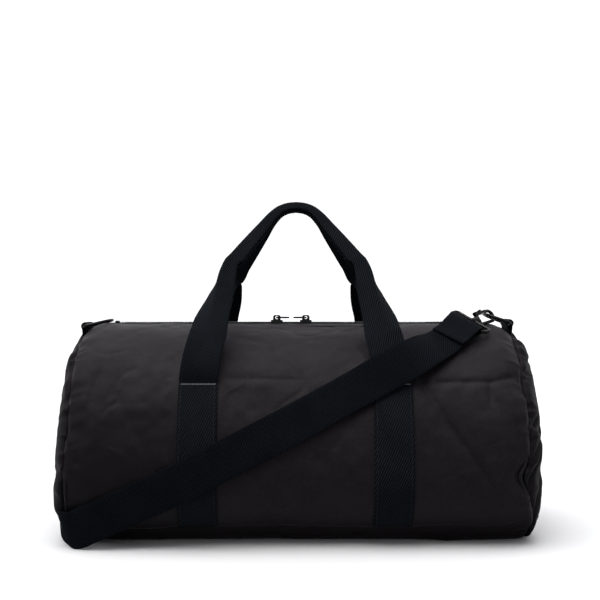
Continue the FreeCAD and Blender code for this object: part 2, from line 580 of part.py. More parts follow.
def turn_stations(centre, far, normal, across, radius, steps=6):
    """Stations of a half turn round a bar, from centre + normal by the far side to centre - normal."""
    stations = []
    for i in range(steps + 1):
        turn = math.pi * i / steps
        spoke = normal * math.cos(turn) + far * math.sin(turn)
        stations.append((centre + spoke * radius, across))
    return stations


def strap_front():
    """Stations of the strap's run across the front, from the first hook to the lower left corner."""
    stations = []
    last = len(STRAP_FRONT) - 1
    for i, (x, y, z, tilt) in enumerate(STRAP_FRONT):
        lean = math.radians(tilt)
        out = Vector(0.0, -math.cos(lean), math.sin(lean))
        run = Vector(*STRAP_FRONT[min(i + 1, last)][:3]) - Vector(*STRAP_FRONT[max(i - 1, 0)][:3])
        wide = out.cross(run).normalize()
        stations.append((Vector(x, y, z), wide if wide.z > 0.0 else wide * -1.0, out))
    return stations


def strap_round():
    """Stations round the left end, each at the height that rests its lower edge near the ground."""
    stations = []
    last = len(STRAP_ROUND) - 1
    for i, (x, y, wide) in enumerate(STRAP_ROUND):
        before = STRAP_ROUND[max(i - 1, 0)]
        after = STRAP_ROUND[min(i + 1, last)]
        run = Vector(after[0] - before[0], after[1] - before[1], 0.0).normalize()
        wide = Vector(*wide)
        wide = (wide - run * run.dot(wide)).normalize()
        face = run.cross(wide)
        z = STRAP_LIFT + 0.5 * WEB_W * abs(wide.z) + 0.5 * WEB_T * abs(face.z)
        stations.append((Vector(x, y, z), wide))
    return stations


def floor_stations(start, points):
    """Stations of webbing that lies flat behind the bag, from pairs of x beyond start and z."""
    return [(Vector(start + x, HOOK_B_BAR.y, z), Y_AXIS) for x, z in points]


def make_strap():
    """The shoulder strap: sewn end, front run, turn round the left end, floor run and return ply."""
    loop_r = STRAP_LOOP_R + 0.5 * WEB_T
    along = (HOOK_A_RING - HOOK_A_BAR).normalize()
    front = strap_front()
    across = hook_a_eye_across()
    across = (across - along * along.dot(across)).normalize()
    if across.dot(front[0][1]) < 0.0:
        across = across * -1.0
    normal = across.cross(along)
    if normal.z < 0.0:
        normal = normal * -1.0
    head = turn_stations(HOOK_A_BAR, along, normal * -1.0, across, loop_r)
    ply = WEB_T + STRAP_PLY_GAP
    under = [(place - out * ply, wide) for place, wide, out in front[1::-1]]
    middle = [(place, wide) for place, wide, out in front]
    bar = HOOK_B_BAR
    floor = floor_stations(ADJUSTER_X, OVER_SLIDE) + floor_stations(bar.x, TO_HOOK_B)
    tail = turn_stations(bar, X_AXIS, Z_AXIS, Y_AXIS, loop_r)
    back = floor_stations(bar.x, FROM_HOOK_B) + floor_stations(ADJUSTER_X, UNDER_SLIDE)
    save("shoulder_strap", ribbon(under + head + middle + strap_round() + floor + tail + back, WEB_W, WEB_T))


def hook_a_eye_across():
    """The direction of the first hook's bar, from the strap's back edge to its front edge."""
    dip = math.radians(HOOK_A_EYE_DIP)
    x, y = HOOK_A_EYE_WAY
    return Vector(x * math.cos(dip), y * math.cos(dip), math.sin(dip))


def make_adjuster():
    """The three-bar slide, and the strap's own end sewn round its middle bar."""
    ax = ADJUSTER_X
    y = HOOK_B_BAR.y
    half_x, half_y = ADJUSTER_HALF
    z0, z1 = ADJUSTER_Z
    plate = box((ax - half_x, y - half_y, z0), (ax + half_x, y + half_y, z1))
    corners = [e for e in plate.Edges if abs(e.tangentAt(e.FirstParameter).z) > 0.9]
    plate = plate.makeFillet(ADJUSTER_ROUND, corners)
    inner_x = half_x - ADJUSTER_BAR
    bar = ADJUSTER_MIDDLE * ADJUSTER_BAR
    slot_y = 0.5 * WEB_W + ADJUSTER_CLEAR
    for low, high in ((-inner_x, -bar), (bar, inner_x)):
        plate = plate.cut(box((ax + low, y - slot_y, z0 - 1.0), (ax + high, y + slot_y, z1 + 1.0)))
    save("strap_adjuster", plate)
    middle = 0.5 * (z0 + z1)
    inner_r = math.hypot(bar, 0.5 * (z1 - z0)) + END_CLEAR
    centre = Vector(ax, y - 0.5 * WEB_W, middle)
    roll = Part.makeCylinder(inner_r + END_PLY, WEB_W, centre, Y_AXIS)
    hole = Part.makeCylinder(inner_r, WEB_W, centre, Y_AXIS)
    save("strap_end_loop", roll.cut(hole))


def main():
    os.makedirs("parts", exist_ok=True)
    make_panels()
    make_zipper()
    make_anchors()
    make_handle_loops()
    make_rings()
    tilt = math.radians(HOOK_A_TILT)
    x, y = HOOK_A_TILT_WAY
    make_hook("a", HOOK_A_BAR, HOOK_A_RING - HOOK_A_BAR, hook_a_eye_across(),
              Vector(x * math.cos(tilt), y * math.cos(tilt), -math.sin(tilt)))
    droop = math.radians(HOOK_B_DROOP)
    make_hook("b", HOOK_B_BAR, Vector(math.cos(droop), 0.0, -math.sin(droop)), Y_AXIS, Y_AXIS)
    make_strap()
    make_adjuster()


main()
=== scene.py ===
import math

import bmesh
import bpy
import numpy as np
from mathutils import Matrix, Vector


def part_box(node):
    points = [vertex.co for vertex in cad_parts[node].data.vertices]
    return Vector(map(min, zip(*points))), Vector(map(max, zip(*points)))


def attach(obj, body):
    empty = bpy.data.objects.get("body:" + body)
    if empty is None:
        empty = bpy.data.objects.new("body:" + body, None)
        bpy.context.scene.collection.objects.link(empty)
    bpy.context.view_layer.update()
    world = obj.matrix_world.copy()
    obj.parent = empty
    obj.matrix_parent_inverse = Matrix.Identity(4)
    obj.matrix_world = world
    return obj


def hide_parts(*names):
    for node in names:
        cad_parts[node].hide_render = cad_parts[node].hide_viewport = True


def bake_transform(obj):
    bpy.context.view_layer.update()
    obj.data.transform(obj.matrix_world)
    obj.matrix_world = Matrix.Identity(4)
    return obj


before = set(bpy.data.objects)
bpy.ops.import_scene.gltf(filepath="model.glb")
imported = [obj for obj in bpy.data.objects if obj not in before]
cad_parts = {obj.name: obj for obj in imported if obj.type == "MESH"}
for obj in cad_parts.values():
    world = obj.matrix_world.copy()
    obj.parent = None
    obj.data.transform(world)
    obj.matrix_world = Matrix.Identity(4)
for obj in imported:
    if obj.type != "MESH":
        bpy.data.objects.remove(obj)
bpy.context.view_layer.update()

# Every size below is in millimetres in the part's own frame: X along the bag, -Y the front, Z up.
MM = 0.001

# Bag body, as the part has it
SEAM_X = 236.5
FULL_X = 205.0
SEAM_SHRINK = 5.0
SEAM_SINK = 4.0
HALF_DEPTH = 125.0
BASE_FLAT = 45.0
LOW_R = 80.0
TOP_R = 110.0
TOP_Z = 118.0
SKIN = 1.2
SIDE_R = (HALF_DEPTH ** 2 + (TOP_Z - LOW_R) ** 2 - TOP_R ** 2) / (2.0 * (HALF_DEPTH - TOP_R))
SIDE_C = SIDE_R - HALF_DEPTH
JOIN = math.atan2(TOP_Z - LOW_R, SIDE_C)
GIRTH = np.cumsum([BASE_FLAT, LOW_R * 0.5 * math.pi, SIDE_R * JOIN, TOP_R * (0.5 * math.pi - JOIN)])
DOME_OUT = {-1.0: 17.0, 1.0: 23.0}  # how far the left and right ends stand out
DOME_DRAW = 68.0  # how far in from the seam each end has turned flat
SIDES = {"left": -1.0, "right": 1.0}
X_AXIS, Y_AXIS, Z_AXIS = np.eye(3)
FACES = {"front": -1.0, "back": 1.0}

SEAM_TUCK = 3.0  # depth of the groove that each end seam pulls into the cloth
BASE_SAG = 2.9  # the filled bag settles by this much beside its flat base
BASE_SAG_GIRTH = 66.0
GROUND_GAP = 0.05  # every mesh stays this far above the ground

# Zipper and webbing
SLOT = 9.0
ZIP_X = 203.0
TAPE_OUT = 22.0
WEB_W = 40.0
WEB_T = 2.2
WEB_GAP = 0.3
HANDLE_X = 99.5
STITCH_Z = 168.0
HINGE_Y = 86.0
HINGE_Z = 222.0
LOOP_LEAN = math.radians(30.4)
LOOP_FOOT_X = 89.5
CROWN_ARC_R = 31.0
GRIP_SLOPE = {-1.0: math.radians(55.3), 1.0: math.radians(60.0)}  # front and back handle
LEG_SLOPE = math.radians(75.0)
LOOP_BEND_R = 12.0
LOOP_RISE = 157.2
# stage and place along a handle, half width of the webbing, how far its outer half is folded
# round behind (degrees), the radius of that fold and the place of the inner selvedge
LOOP_SECTIONS = [("crown", 0.0, 11.0, 180, 3.2, -5.3), ("crown", 17.0, 11.2, 180, 3.2, -5.3),
                 ("crown", 34.0, 11.6, 180, 3.2, -5.4), ("grip", 0.0, 12.5, 180, 3.1, -5.9),
                 ("grip", 0.25, 14.2, 180, 3.0, -6.6), ("grip", 0.5, 15.8, 180, 2.9, -7.3),
                 ("grip", 0.75, 16.9, 178, 2.9, -7.8), ("grip", 1.0, 17.8, 170, 3.0, -8.0),
                 ("bend", 0.5, 17.2, 162, 3.0, -7.0), ("leg", 0.0, 16.8, 150, 3.0, -6.6),
                 ("leg", 0.2, 18.0, 92, 3.2, -8.0), ("leg", 0.36, 18.8, 66, 3.4, -11.0),
                 ("leg", 0.5, 19.1, 54, 3.5, -12.8), ("leg", 0.7, 19.2, 37, 3.5, -14.6),
                 ("leg", 0.86, 19.2, 20, 3.5, -16.6), ("leg", 1.0, 19.2, 6, 3.5, -18.8)]

BACK_WIDER = 6.0  # the back handle's legs stand this much further in at their tops

# Shoulder strap: x, y, z of its middle across the front and the tilt of its face
STRAP_FRONT = [(168.0, -60.5, 219.0, 58.0), (152.5, -73.0, 209.5, 47.0), (137.0, -87.0, 202.5, 32.0),
               (122.0, -98.5, 195.0, 20.0), (106.5, -104.2, 187.0, 14.0), (90.0, -106.5, 178.5, 14.0),
               (72.0, -108.8, 168.5, 20.0), (40.0, -114.5, 151.0, 23.0), (4.5, -121.0, 132.0, 17.0),
               (-50.0, -127.7, 104.0, 6.0), (-80.0, -130.0, 88.6, 1.0), (-114.5, -130.0, 71.0, -3.0),
               (-135.0, -128.0, 61.0, -6.0), (-165.0, -125.0, 47.5, -8.0), (-190.0, -122.0, 35.5, -7.0),
               (-212.0, -118.5, 25.5, -5.0)]
STRAP_ROUND = [(-222.5, -115.5, (-0.28, -0.10, 0.95)), (-231.0, -111.5, (-0.36, -0.06, 0.93)),
               (-237.0, -102.5, (-0.36, 0.0, 0.93)), (-242.5, -86.0, (-0.22, 0.0, 0.97)),
               (-250.0, -60.0, (-0.08, 0.0, 1.0)), (-257.0, -20.0, (0.0, 0.0, 1.0)),
               (-259.0, 20.0, (0.0, 0.0, 1.0)), (-256.5, 60.0, (0.0, 0.0, 1.0)),
               (-250.0, 93.0, (0.05, 0.05, 1.0)), (-239.0, 121.0, (0.30, 0.25, 0.92)),
               (-220.0, 143.0, (0.45, 0.55, 0.71)), (-196.0, 155.0, (0.30, 0.85, 0.43)),
               (-168.0, 159.5, (0.10, 0.98, 0.12)), (-145.0, 160.0, (0.0, 1.0, 0.0))]
STRAP_HEM = 0.5  # the sewn end's hem, on the way between the first two places
WEB_POINTS = 30  # in the outline of flat webbing
STRAP_LIFT = 0.6
STRAP_LOW_Z = 1.7
STRAP_PLY_Z = 4.3
STRAP_OVER_Z = 13.6
BAR_TURN_R = 2.3 + 0.5 * WEB_T
TAB_HALF_W = 18.0
HOOK_A_BAR = np.array([184.0, -46.3, 228.3])
HOOK_A_RING = np.array([215.1, -14.0, 235.6])
HOOK_A_DIP = math.radians(-27.0)
HOOK_B_BAR = np.array([165.0, 160.0, 5.4])
ADJUSTER_X = 20.0
ADJUSTER_MID_Z = 7.7
END_ROLL_R = 2.9
END_PLY = 1.4

# Creases pressed into the front, as x and z along each, with depth and half width
CREASES = [([(-132, 174), (-60, 173), (5, 172)], 0.9, 3.0), ([(146, 169), (202, 169), (229, 176)], 1.7, 3.0),
           ([(200, 169), (199, 150)], 1.6, 3.5),
           ([(126, 174), (155, 127), (179, 95), (206, 56)], 2.7, 5.0),
           ([(146, 169), (126, 174)], 0.9, 4.0), ([(-60, 215), (-20, 205), (10, 208)], 0.9, 6.0),
           ([(206, 150), (222, 118), (230, 80)], 1.2, 5.0),
           ([(-205, 178), (-216, 140), (-222, 90)], 1.3, 6.0),
           ([(-30, 150), (-20, 100), (10, 60)], 0.8, 7.0), ([(-180, 150), (-150, 100)], 0.8, 6.0),
           ([(20, 100), (48, 62), (55, 30)], 0.7, 6.0), ([(-60, 90), (-20, 70), (10, 72)], 0.5, 6.0),
           ([(150, 206), (190, 214), (228, 210)], 0.8, 7.0), ([(-150, 200), (-120, 186)], 0.6, 5.0)]
CREASE_DEPTH = 1.35  # all of them deepened by this much
# Unevenness of the cloth: its height and its lengths along and round the bag
CLOTH_WAVES = [(1.7, 85.0, 62.0), (1.0, 33.0, 27.0), (0.42, 11.0, 9.0), (0.07, 3.7, 3.3)]
# Outline of the tape that binds the end seams inside: in from the seam, and along the bag
BINDING_SHAPE = [(0.0, 1.3), (1.5, 1.6), (4.0, 1.5), (5.0, 0.0),
                 (4.0, -1.5), (1.5, -1.6), (0.0, -1.3), (-0.6, 0.0)]
COIL_WIRE_R = 0.36
# Folds across the ends: height at the seam, rise per millimetre inwards, half width and depth
END_FOLDS = {-1.0: [(150.0, 0.5, 9.0, 2.6), (88.0, -0.5, 7.0, 2.6), (48.0, 0.6, 6.0, 2.6)],
             1.0: [(62.0, 1.5, 5.0, 7.0), (88.0, 1.0, 4.5, 6.0), (132.0, -0.6, 6.0, 5.0),
                   (172.0, 0.7, 6.0, 3.5), (34.0, 1.1, 5.0, 5.5), (112.0, 1.3, 5.0, 3.5)]}
# Dents at the end seams, as x, z, radius and depth on the front
DENTS = [(236, 73, 13, 7.0), (236, 167, 12, 3.0), (-234, 60, 16, 2.5), (-236, 150, 18, 2.0)]


# ------------ mesh helpers

def add_object(name, data):
    """A new object in the scene."""
    thing = bpy.data.objects.new(name, data)
    bpy.context.scene.collection.objects.link(thing)
    return thing


def build(name, rings, uvs, material, slot, body, wrap_rows=False):
    """One piece from closed rings of points: rings is strips x rows x points x 3, in millimetres."""
    strips, rows, k = rings.shape[:3]
    rings[..., 2] = np.maximum(rings[..., 2], GROUND_GAP)
    row, col = np.meshgrid(np.arange(rows if wrap_rows else rows - 1), np.arange(k), indexing="ij")
    here = row * k
    after = (row + 1) % rows * k
    beside = (col + 1) % k
    quads = np.stack([here + col, here + beside, after + beside, after + col], -1).reshape(-1, 4)
    if not wrap_rows:
        j = np.arange(k // 2 - 1)
        cap = np.stack([j, k - 1 - j, k - 2 - j, j + 1], -1)
        quads = np.concatenate([quads, cap, cap[:, ::-1] + (rows - 1) * k])
    quads = (quads[None] + (np.arange(strips) * rows * k)[:, None, None]).reshape(-1, 4)
    mesh = bpy.data.meshes.new(name)
    points = (rings.reshape(-1, 3) * MM).astype(np.float32)
    mesh.vertices.add(len(points))
    mesh.vertices.foreach_set("co", points.ravel())
    mesh.loops.add(quads.size)
    mesh.loops.foreach_set("vertex_index", quads.ravel().astype(np.int32))
    mesh.polygons.add(len(quads))
    mesh.polygons.foreach_set("loop_start", np.arange(0, quads.size, 4, dtype=np.int32))
    mesh.update(calc_edges=True)
    layer = mesh.uv_layers.new(name="UVMap")
    layer.data.foreach_set("uv", (uvs.reshape(-1, 2)[quads.ravel()] * MM).astype(np.float32).ravel())
    work = bmesh.new()
    work.from_mesh(mesh)
    bmesh.ops.recalc_face_normals(work, faces=work.faces)
    work.to_mesh(mesh)
    work.free()
    mesh.polygons.foreach_set("use_smooth", np.ones(len(quads), bool))
    mesh.materials.append(material)
    piece = add_object(name, mesh)
    if body is not None:
        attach(piece, body)
    return piece


def unit(v):
    """Rows scaled to length 1."""
    return v / np.maximum(np.linalg.norm(v, axis=-1, keepdims=True), 1e-9)


def square(side, tangent):
    """Directions turned square to a path's own, with length 1."""
    return unit(side - tangent * (side * tangent).sum(-1, keepdims=True))


def travel(path):
    """Distance along a path at each of its points."""
    return np.concatenate([[0.0], np.cumsum(np.linalg.norm(np.diff(path, axis=0), axis=1))])


def pair(u, v):
    """Two values at every point, as one array."""
    return np.stack(np.broadcast_arrays(u, v), -1)


def curve(t, start, end, start_slope, end_slope):
    """Points on the cubic from start to end that leaves and arrives with the given slopes."""
    return (start * (1 + 2 * t) * (1 - t) ** 2 + end * t * t * (3 - 2 * t)
            + start_slope * t * (1 - t) ** 2 + end_slope * t * t * (t - 1))


def smooth_path(points, step):
    """A smooth curve through points, about step apart; columns after the third are carried along."""
    points = np.array(points, float)
    gaps = np.linalg.norm(np.diff(points[:, :3], axis=0), axis=1)
    slopes = np.gradient(points, np.concatenate([[0.0], np.cumsum(gaps)]), axis=0)
    out = []
    for i, gap in enumerate(gaps):
        count = max(1, int(round(gap / step)))
        t = (np.arange(count) / count)[:, None]
        out.append(curve(t, points[i], points[i + 1], slopes[i] * gap, slopes[i + 1] * gap))
    return np.concatenate(out + [points[-1:]])


def noise(u, v, seed, size=64):
    """Smooth value noise from -1 to 1 with features one unit wide."""
    table = np.random.default_rng(seed).uniform(-1.0, 1.0, (size, size))
    iu = np.floor(u).astype(int)
    iv = np.floor(v).astype(int)
    fu = u - iu
    fv = v - iv
    fu = fu * fu * (3 - 2 * fu)
    fv = fv * fv * (3 - 2 * fv)
    near, far = iu % size, (iu + 1) % size
    low, high = [table[near, row % size] * (1 - fu) + table[far, row % size] * fu for row in (iv, iv + 1)]
    return low * (1 - fv) + high * fv


def ramp(value, low, high):
    """0 below low, 1 above high and smooth between."""
    t = np.clip((value - low) / (high - low), 0.0, 1.0)
    return t * t * (3 - 2 * t)


def line_distance(x, z, points):
    """Distance from each x, z to a line through points."""
    best = np.full(np.shape(x), 1e9)
    for (x0, z0), (x1, z1) in zip(points, points[1:]):
        dx = x1 - x0
        dz = z1 - z0
        t = np.clip(((x - x0) * dx + (z - z0) * dz) / (dx * dx + dz * dz), 0.0, 1.0)
        best = np.minimum(best, np.hypot(x - x0 - t * dx, z - z0 - t * dz))
    return best


def sweep(path, side, face, sections):
    """Closed rings along a path; sections is rows x points x 2, across and off the face."""
    return path[:, None] + side[:, None] * sections[..., :1] + face[:, None] * sections[..., 1:]


def webbing_section(half, thick=WEB_T):
    """Outline of flat webbing with soft selvedges."""
    a = np.sin(np.linspace(-0.5, 0.5, WEB_POINTS // 2) * math.pi)
    t = 0.5 * thick * (1.0 - 0.55 * np.abs(a) ** 10)
    top = np.stack([a * half, t], -1)
    return np.concatenate([top, (top * [1, -1])[::-1]])


def ribbon(name, path, side, face, section, run, material, slot, wrap_rows=False):
    """Webbing along a path, with UVs across it and by the distance run."""
    section = np.broadcast_to(section, (len(path), WEB_POINTS, 2))
    rings = sweep(path, side, face, section)
    uvs = pair(section[..., 0], run[:, None])
    return build(name, rings[None], uvs[None], material, slot, "bag", wrap_rows)


def dashes(name, places, along, normal, length, radius, material, body):
    """A row of stitches: one small sunk spindle of thread at each place."""
    reach = np.array([-0.5, -0.36, 0.0, 0.36, 0.5]) * length
    thick = np.array([0.25, 0.85, 1.0, 0.85, 0.25]) * radius
    sunk = np.array([-0.9, -0.25, 0.1, -0.25, -0.9]) * radius
    turn = np.arange(6) * math.pi / 3.0
    side = np.cross(along, normal)
    middle = places[:, None] + along[:, None] * reach[:, None] + normal[:, None] * sunk[:, None]
    spoke = side[:, None, None] * np.cos(turn)[:, None] + normal[:, None, None] * np.sin(turn)[:, None]
    rings = middle[:, :, None] + spoke * thick[:, None, None]
    uvs = np.broadcast_to(pair(reach[:, None], turn), (*rings.shape[:3], 2))
    return build(name, rings, uvs, material, "thread", body)


def spaced(path, pitch):
    """Places pitch apart along a path, and its direction there."""
    place = travel(path[:, :3])
    at = np.arange(0.5 * pitch, place[-1], pitch)
    out = np.stack([np.interp(at, place, path[:, i]) for i in range(path.shape[1])], -1)
    ahead = np.stack([np.interp(at + 0.5, place, path[:, i]) for i in range(3)], -1)
    return out, unit(ahead - out[:, :3] + 1e-9)


# ------------ materials

def new_material(name, color, roughness, specular, metallic=0.0, sheen=0.0, glint=(1.0, 1.0, 1.0)):
    """A Principled material with its constant values on the shader, and its node tree."""
    material = bpy.data.materials.new(name)
    material.use_nodes = True
    shader = material.node_tree.nodes["Principled BSDF"]
    constants = {"Base Color": (*color, 1.0), "Roughness": roughness, "Specular IOR Level": specular,
                 "Metallic": metallic, "Sheen Weight": sheen, "Sheen Roughness": 0.45,
                 "Specular Tint": (*glint, 1.0), "Sheen Tint": (*glint, 1.0)}
    for key, value in constants.items():
        shader.inputs[key].default_value = value
    return material, material.node_tree, shader


def node(tree, kind, **values):
    """A node with its settings, and its inputs as values or as sockets of other nodes, by name."""
    made = tree.nodes.new(kind)
    for key, value in values.items():
        if hasattr(made, key):
            setattr(made, key, value)
        elif isinstance(value, bpy.types.NodeSocket):
            tree.links.new(value, made.inputs[key.replace("_", " ")])
        else:
            made.inputs[key.replace("_", " ")].default_value = value
    return made


def coordinates(tree, source, scale=1.0, turn=0.0):
    """Texture coordinates, turned in the plane of the cloth and scaled."""
    place = tree.nodes.new("ShaderNodeTexCoord").outputs[source]
    return node(tree, "ShaderNodeMapping", Vector=place, Rotation=(0.0, 0.0, turn),
                Scale=(scale, scale, scale)).outputs["Vector"]


def ribs(tree, pitch, turn, distortion=0.0):
    """Parallel ribs in the cloth, pitch apart in metres, from 0 to 1."""
    return node(tree, "ShaderNodeTexWave", wave_type="BANDS", bands_direction="X",
                Vector=coordinates(tree, "UV", 1.0, turn), Scale=math.pi / (10.0 * pitch),
                Distortion=distortion, Detail=1.0, Detail_Scale=2.0).outputs["Fac"]


def combine(tree, operation, a, b):
    """A Math node over two values, each a socket or a number."""
    math_node = node(tree, "ShaderNodeMath", operation=operation)
    for i, value in enumerate((a, b)):
        if isinstance(value, (int, float)):
            math_node.inputs[i].default_value = value
        else:
            tree.links.new(value, math_node.inputs[i])
    return math_node.outputs[0]


def mottle(tree, scale, detail=3.0, source="Object"):
    """Cloudy variation from 0 to 1, scale features in a metre."""
    return node(tree, "ShaderNodeTexNoise", Vector=coordinates(tree, source), Scale=scale,
                Detail=detail, Roughness=0.55).outputs["Fac"]


def tint(tree, shader, low, high, amount):
    """Base colour between two colours by an amount from 0 to 1."""
    mix = node(tree, "ShaderNodeMix", data_type="RGBA")
    mix.inputs[6].default_value = (*low, 1.0)
    mix.inputs[7].default_value = (*high, 1.0)
    tree.links.new(amount, mix.inputs[0])
    tree.links.new(mix.outputs[2], shader.inputs["Base Color"])


def spread(tree, value, low, high):
    """A 0 to 1 value carried to the range low to high."""
    return node(tree, "ShaderNodeMapRange", clamp=False, Value=value, To_Min=low,
                To_Max=high).outputs["Result"]


def bump(tree, shader, height, strength, distance):
    """Surface relief from a height."""
    relief = node(tree, "ShaderNodeBump", Height=height, Strength=strength, Distance=distance)
    tree.links.new(relief.outputs["Normal"], shader.inputs["Normal"])


def patch(tree, x_range, z_range):
    """A soft patch of the bag, from 0 to 1, between two x and two z positions in metres."""
    place = tree.nodes.new("ShaderNodeTexCoord").outputs["Object"]
    split = node(tree, "ShaderNodeSeparateXYZ", Vector=place)
    fades = [node(tree, "ShaderNodeMapRange", interpolation_type="SMOOTHSTEP", Value=split.outputs[axis],
                  From_Min=start, From_Max=end).outputs["Result"]
             for axis, (start, end) in (("X", x_range), ("Z", z_range))]
    return combine(tree, "MULTIPLY", *fades)


CLOTH_GLINT = (1.0, 0.91, 0.98)  # the cloth's own warm tint in its highlights


def cloth_material(name, dark, light, pitch, roughness, specular, sheen, painted_shade=()):
    """Plain-woven cloth with slubs in its yarns, soft mottling, a slight sheen and patches of painted shade
    darkened into its colour.
    """
    material, tree, shader = new_material(name, light, roughness, specular, 0.0, sheen, CLOTH_GLINT)
    warp = ribs(tree, pitch, 0.0, 0.6)
    weft = ribs(tree, pitch, 0.5 * math.pi, 0.6)
    height = combine(tree, "MULTIPLY", warp, weft)
    slub = mottle(tree, 900.0, 2.0, "UV")
    height = combine(tree, "ADD", height, slub)
    bump(tree, shader, height, 0.3, 0.0002)
    cloud = combine(tree, "ADD", mottle(tree, 9.0), mottle(tree, 70.0))
    yarn = combine(tree, "MULTIPLY", mottle(tree, 330.0, 4.0), 2.2)
    cloud = combine(tree, "ADD", cloud, yarn)
    amount = spread(tree, cloud, -1.29, -0.39)
    # painted shade: each patch darkens the base colour where the bag should look shaded
    for x_range, z_range, depth in painted_shade:
        darker = combine(tree, "MULTIPLY", patch(tree, x_range, z_range), depth)
        amount = combine(tree, "SUBTRACT", amount, darker)
    tint(tree, shader, dark, light, amount)
    tree.links.new(spread(tree, mottle(tree, 25.0), roughness - 0.1, roughness + 0.1),
                   shader.inputs["Roughness"])
    return material


def webbing_material(name, dark, light, turn, pitch=0.0023):
    """Heavy twill webbing: diagonal ribs crossed by fine weft, with worn ridges."""
    material, tree, shader = new_material(name, light, 0.8, 0.05)
    twill = ribs(tree, pitch, turn, 0.5)
    cross = ribs(tree, 0.0006, turn + 0.5 * math.pi, 0.3)
    height = combine(tree, "ADD", twill, combine(tree, "MULTIPLY", cross, 0.25))
    bump(tree, shader, height, 0.7, 0.0004)
    cloud = combine(tree, "ADD", mottle(tree, 30.0), mottle(tree, 700.0, 2.0))
    amount = combine(tree, "MULTIPLY", twill, spread(tree, cloud, -0.1, 0.9))
    tint(tree, shader, dark, light, amount)
    return material


def metal_material(name, dark, light, roughness):
    """Dark plated metal with faint rubbed patches."""
    material, tree, shader = new_material(name, light, roughness, 0.5, 1.0)
    rub = mottle(tree, 350.0, 4.0)
    tint(tree, shader, dark, light, rub)
    tree.links.new(spread(tree, rub, roughness - 0.06, roughness + 0.1), shader.inputs["Roughness"])
    bump(tree, shader, mottle(tree, 1500.0, 3.0), 0.05, 0.0001)
    return material


def thread_material(name, dark, light):
    """Twisted sewing thread."""
    material, tree, shader = new_material(name, light, 0.55, 0.35)
    twist = ribs(tree, 0.0004, 0.9)
    bump(tree, shader, twist, 0.5, 0.0001)
    tint(tree, shader, dark, light, twist)
    return material


def plastic_material(name, dark, light):
    """Moulded nylon monofilament."""
    material, tree, shader = new_material(name, light, 0.38, 0.5)
    grain = mottle(tree, 800.0, 3.0)
    tint(tree, shader, dark, light, grain)
    bump(tree, shader, grain, 0.15, 0.0001)
    return material


# painted shade: patches where the cloth's colour is darkened to stand in for shade, as x from and to, z from
# and to, and how much
PAINTED_SHADE_PATCHES = [((-0.06, -0.17), (0.2, 0.12), 0.75), ((0.1, 0.2), (0.15, 0.2), 0.55)]
# the body cloth's colour carries the painted shade patches above
FABRIC = cloth_material("body_cloth", (0.0035, 0.0028, 0.0033), (0.0108, 0.0088, 0.0102),
                        0.0006, 0.55, 0.17, 0.06, PAINTED_SHADE_PATCHES)
# painted shade: a copy of the body cloth with darker colours, standing in for the shade on the ends that turn
# away from the light
SHADED_END_CLOTH = cloth_material("end_cloth", (0.0034, 0.0028, 0.0032), (0.0100, 0.0084, 0.0095),
                           0.0006, 0.6, 0.1, 0.0)
LINING = cloth_material("lining_cloth", (0.010, 0.010, 0.011), (0.02, 0.02, 0.021), 0.0004, 0.5, 0.4, 0.05)
BINDING = cloth_material("binding_tape", (0.006, 0.006, 0.007), (0.012, 0.012, 0.013),
                         0.0009, 0.75, 0.25, 0.1)
TAPE = cloth_material("zipper_tape_cloth", (0.006, 0.006, 0.007), (0.013, 0.013, 0.014),
                      0.0007, 0.75, 0.25, 0.1)
WEBBING = webbing_material("handle_twill", (0.0008, 0.0012, 0.0020), (0.0150, 0.0186, 0.0238),
                           math.radians(-24))
STRAP_WEB = webbing_material("strap_twill", (0.0005, 0.0008, 0.0014), (0.0078, 0.0102, 0.0150),
                             math.radians(-38))
THREAD = thread_material("black_thread", (0.004, 0.004, 0.005), (0.014, 0.014, 0.016))
BAR_THREAD = thread_material("bar_thread", (0.14, 0.14, 0.145), (0.36, 0.36, 0.37))
COIL = plastic_material("coil_nylon", (0.006, 0.006, 0.007), (0.014, 0.014, 0.015))
METAL = metal_material("black_nickel", (0.006, 0.006, 0.006), (0.045, 0.044, 0.042), 0.2)
ZIP_METAL = metal_material("slider_metal", (0.006, 0.006, 0.006), (0.06, 0.06, 0.06), 0.2)


# ------------ camera, lights and floor

# brightness of the studio by height, from 0 straight down over 0.5 at eye level to 1 overhead
WORLD_LEVELS = [(0.1, 0.42), (0.36, 0.36), (0.5, 0.38), (0.72, 0.38), (1.0, 0.55)]
WORLD_BLUE = 1.04
WORLD_BEHIND = (0.1, 0.9, 2.6)  # towards the back, where it starts and ends to brighten, and how much
FLOOR_SIZE = 90.0  # metres, as all of the stage
BACKDROP_R = 20.0
SHEET_SIZE = (0.58, 0.21, 1.0)  # dark sheet that keeps light off the bag's underside
SHEET_Z = -0.003


def make_camera():
    """Level, straight at the front, a little above the bag's top."""
    data = bpy.data.cameras.new("camera")
    data.lens = 61.5
    data.sensor_width = 36.0
    camera = add_object("camera", data)
    camera.location = (0.0045, -1.150, 0.253)
    camera.rotation_euler = (0.5 * math.pi, 0.0, 0.0)
    bpy.context.scene.camera = camera


def make_light():
    """One very wide soft source high above, a little in front of the bag."""
    data = bpy.data.lights.new("softbox", "SUN")
    data.energy = 2.45
    data.angle = math.radians(60.0)
    lamp = add_object("softbox", data)
    lamp.rotation_euler = (math.radians(12.0), math.radians(-12.0), 0.0)


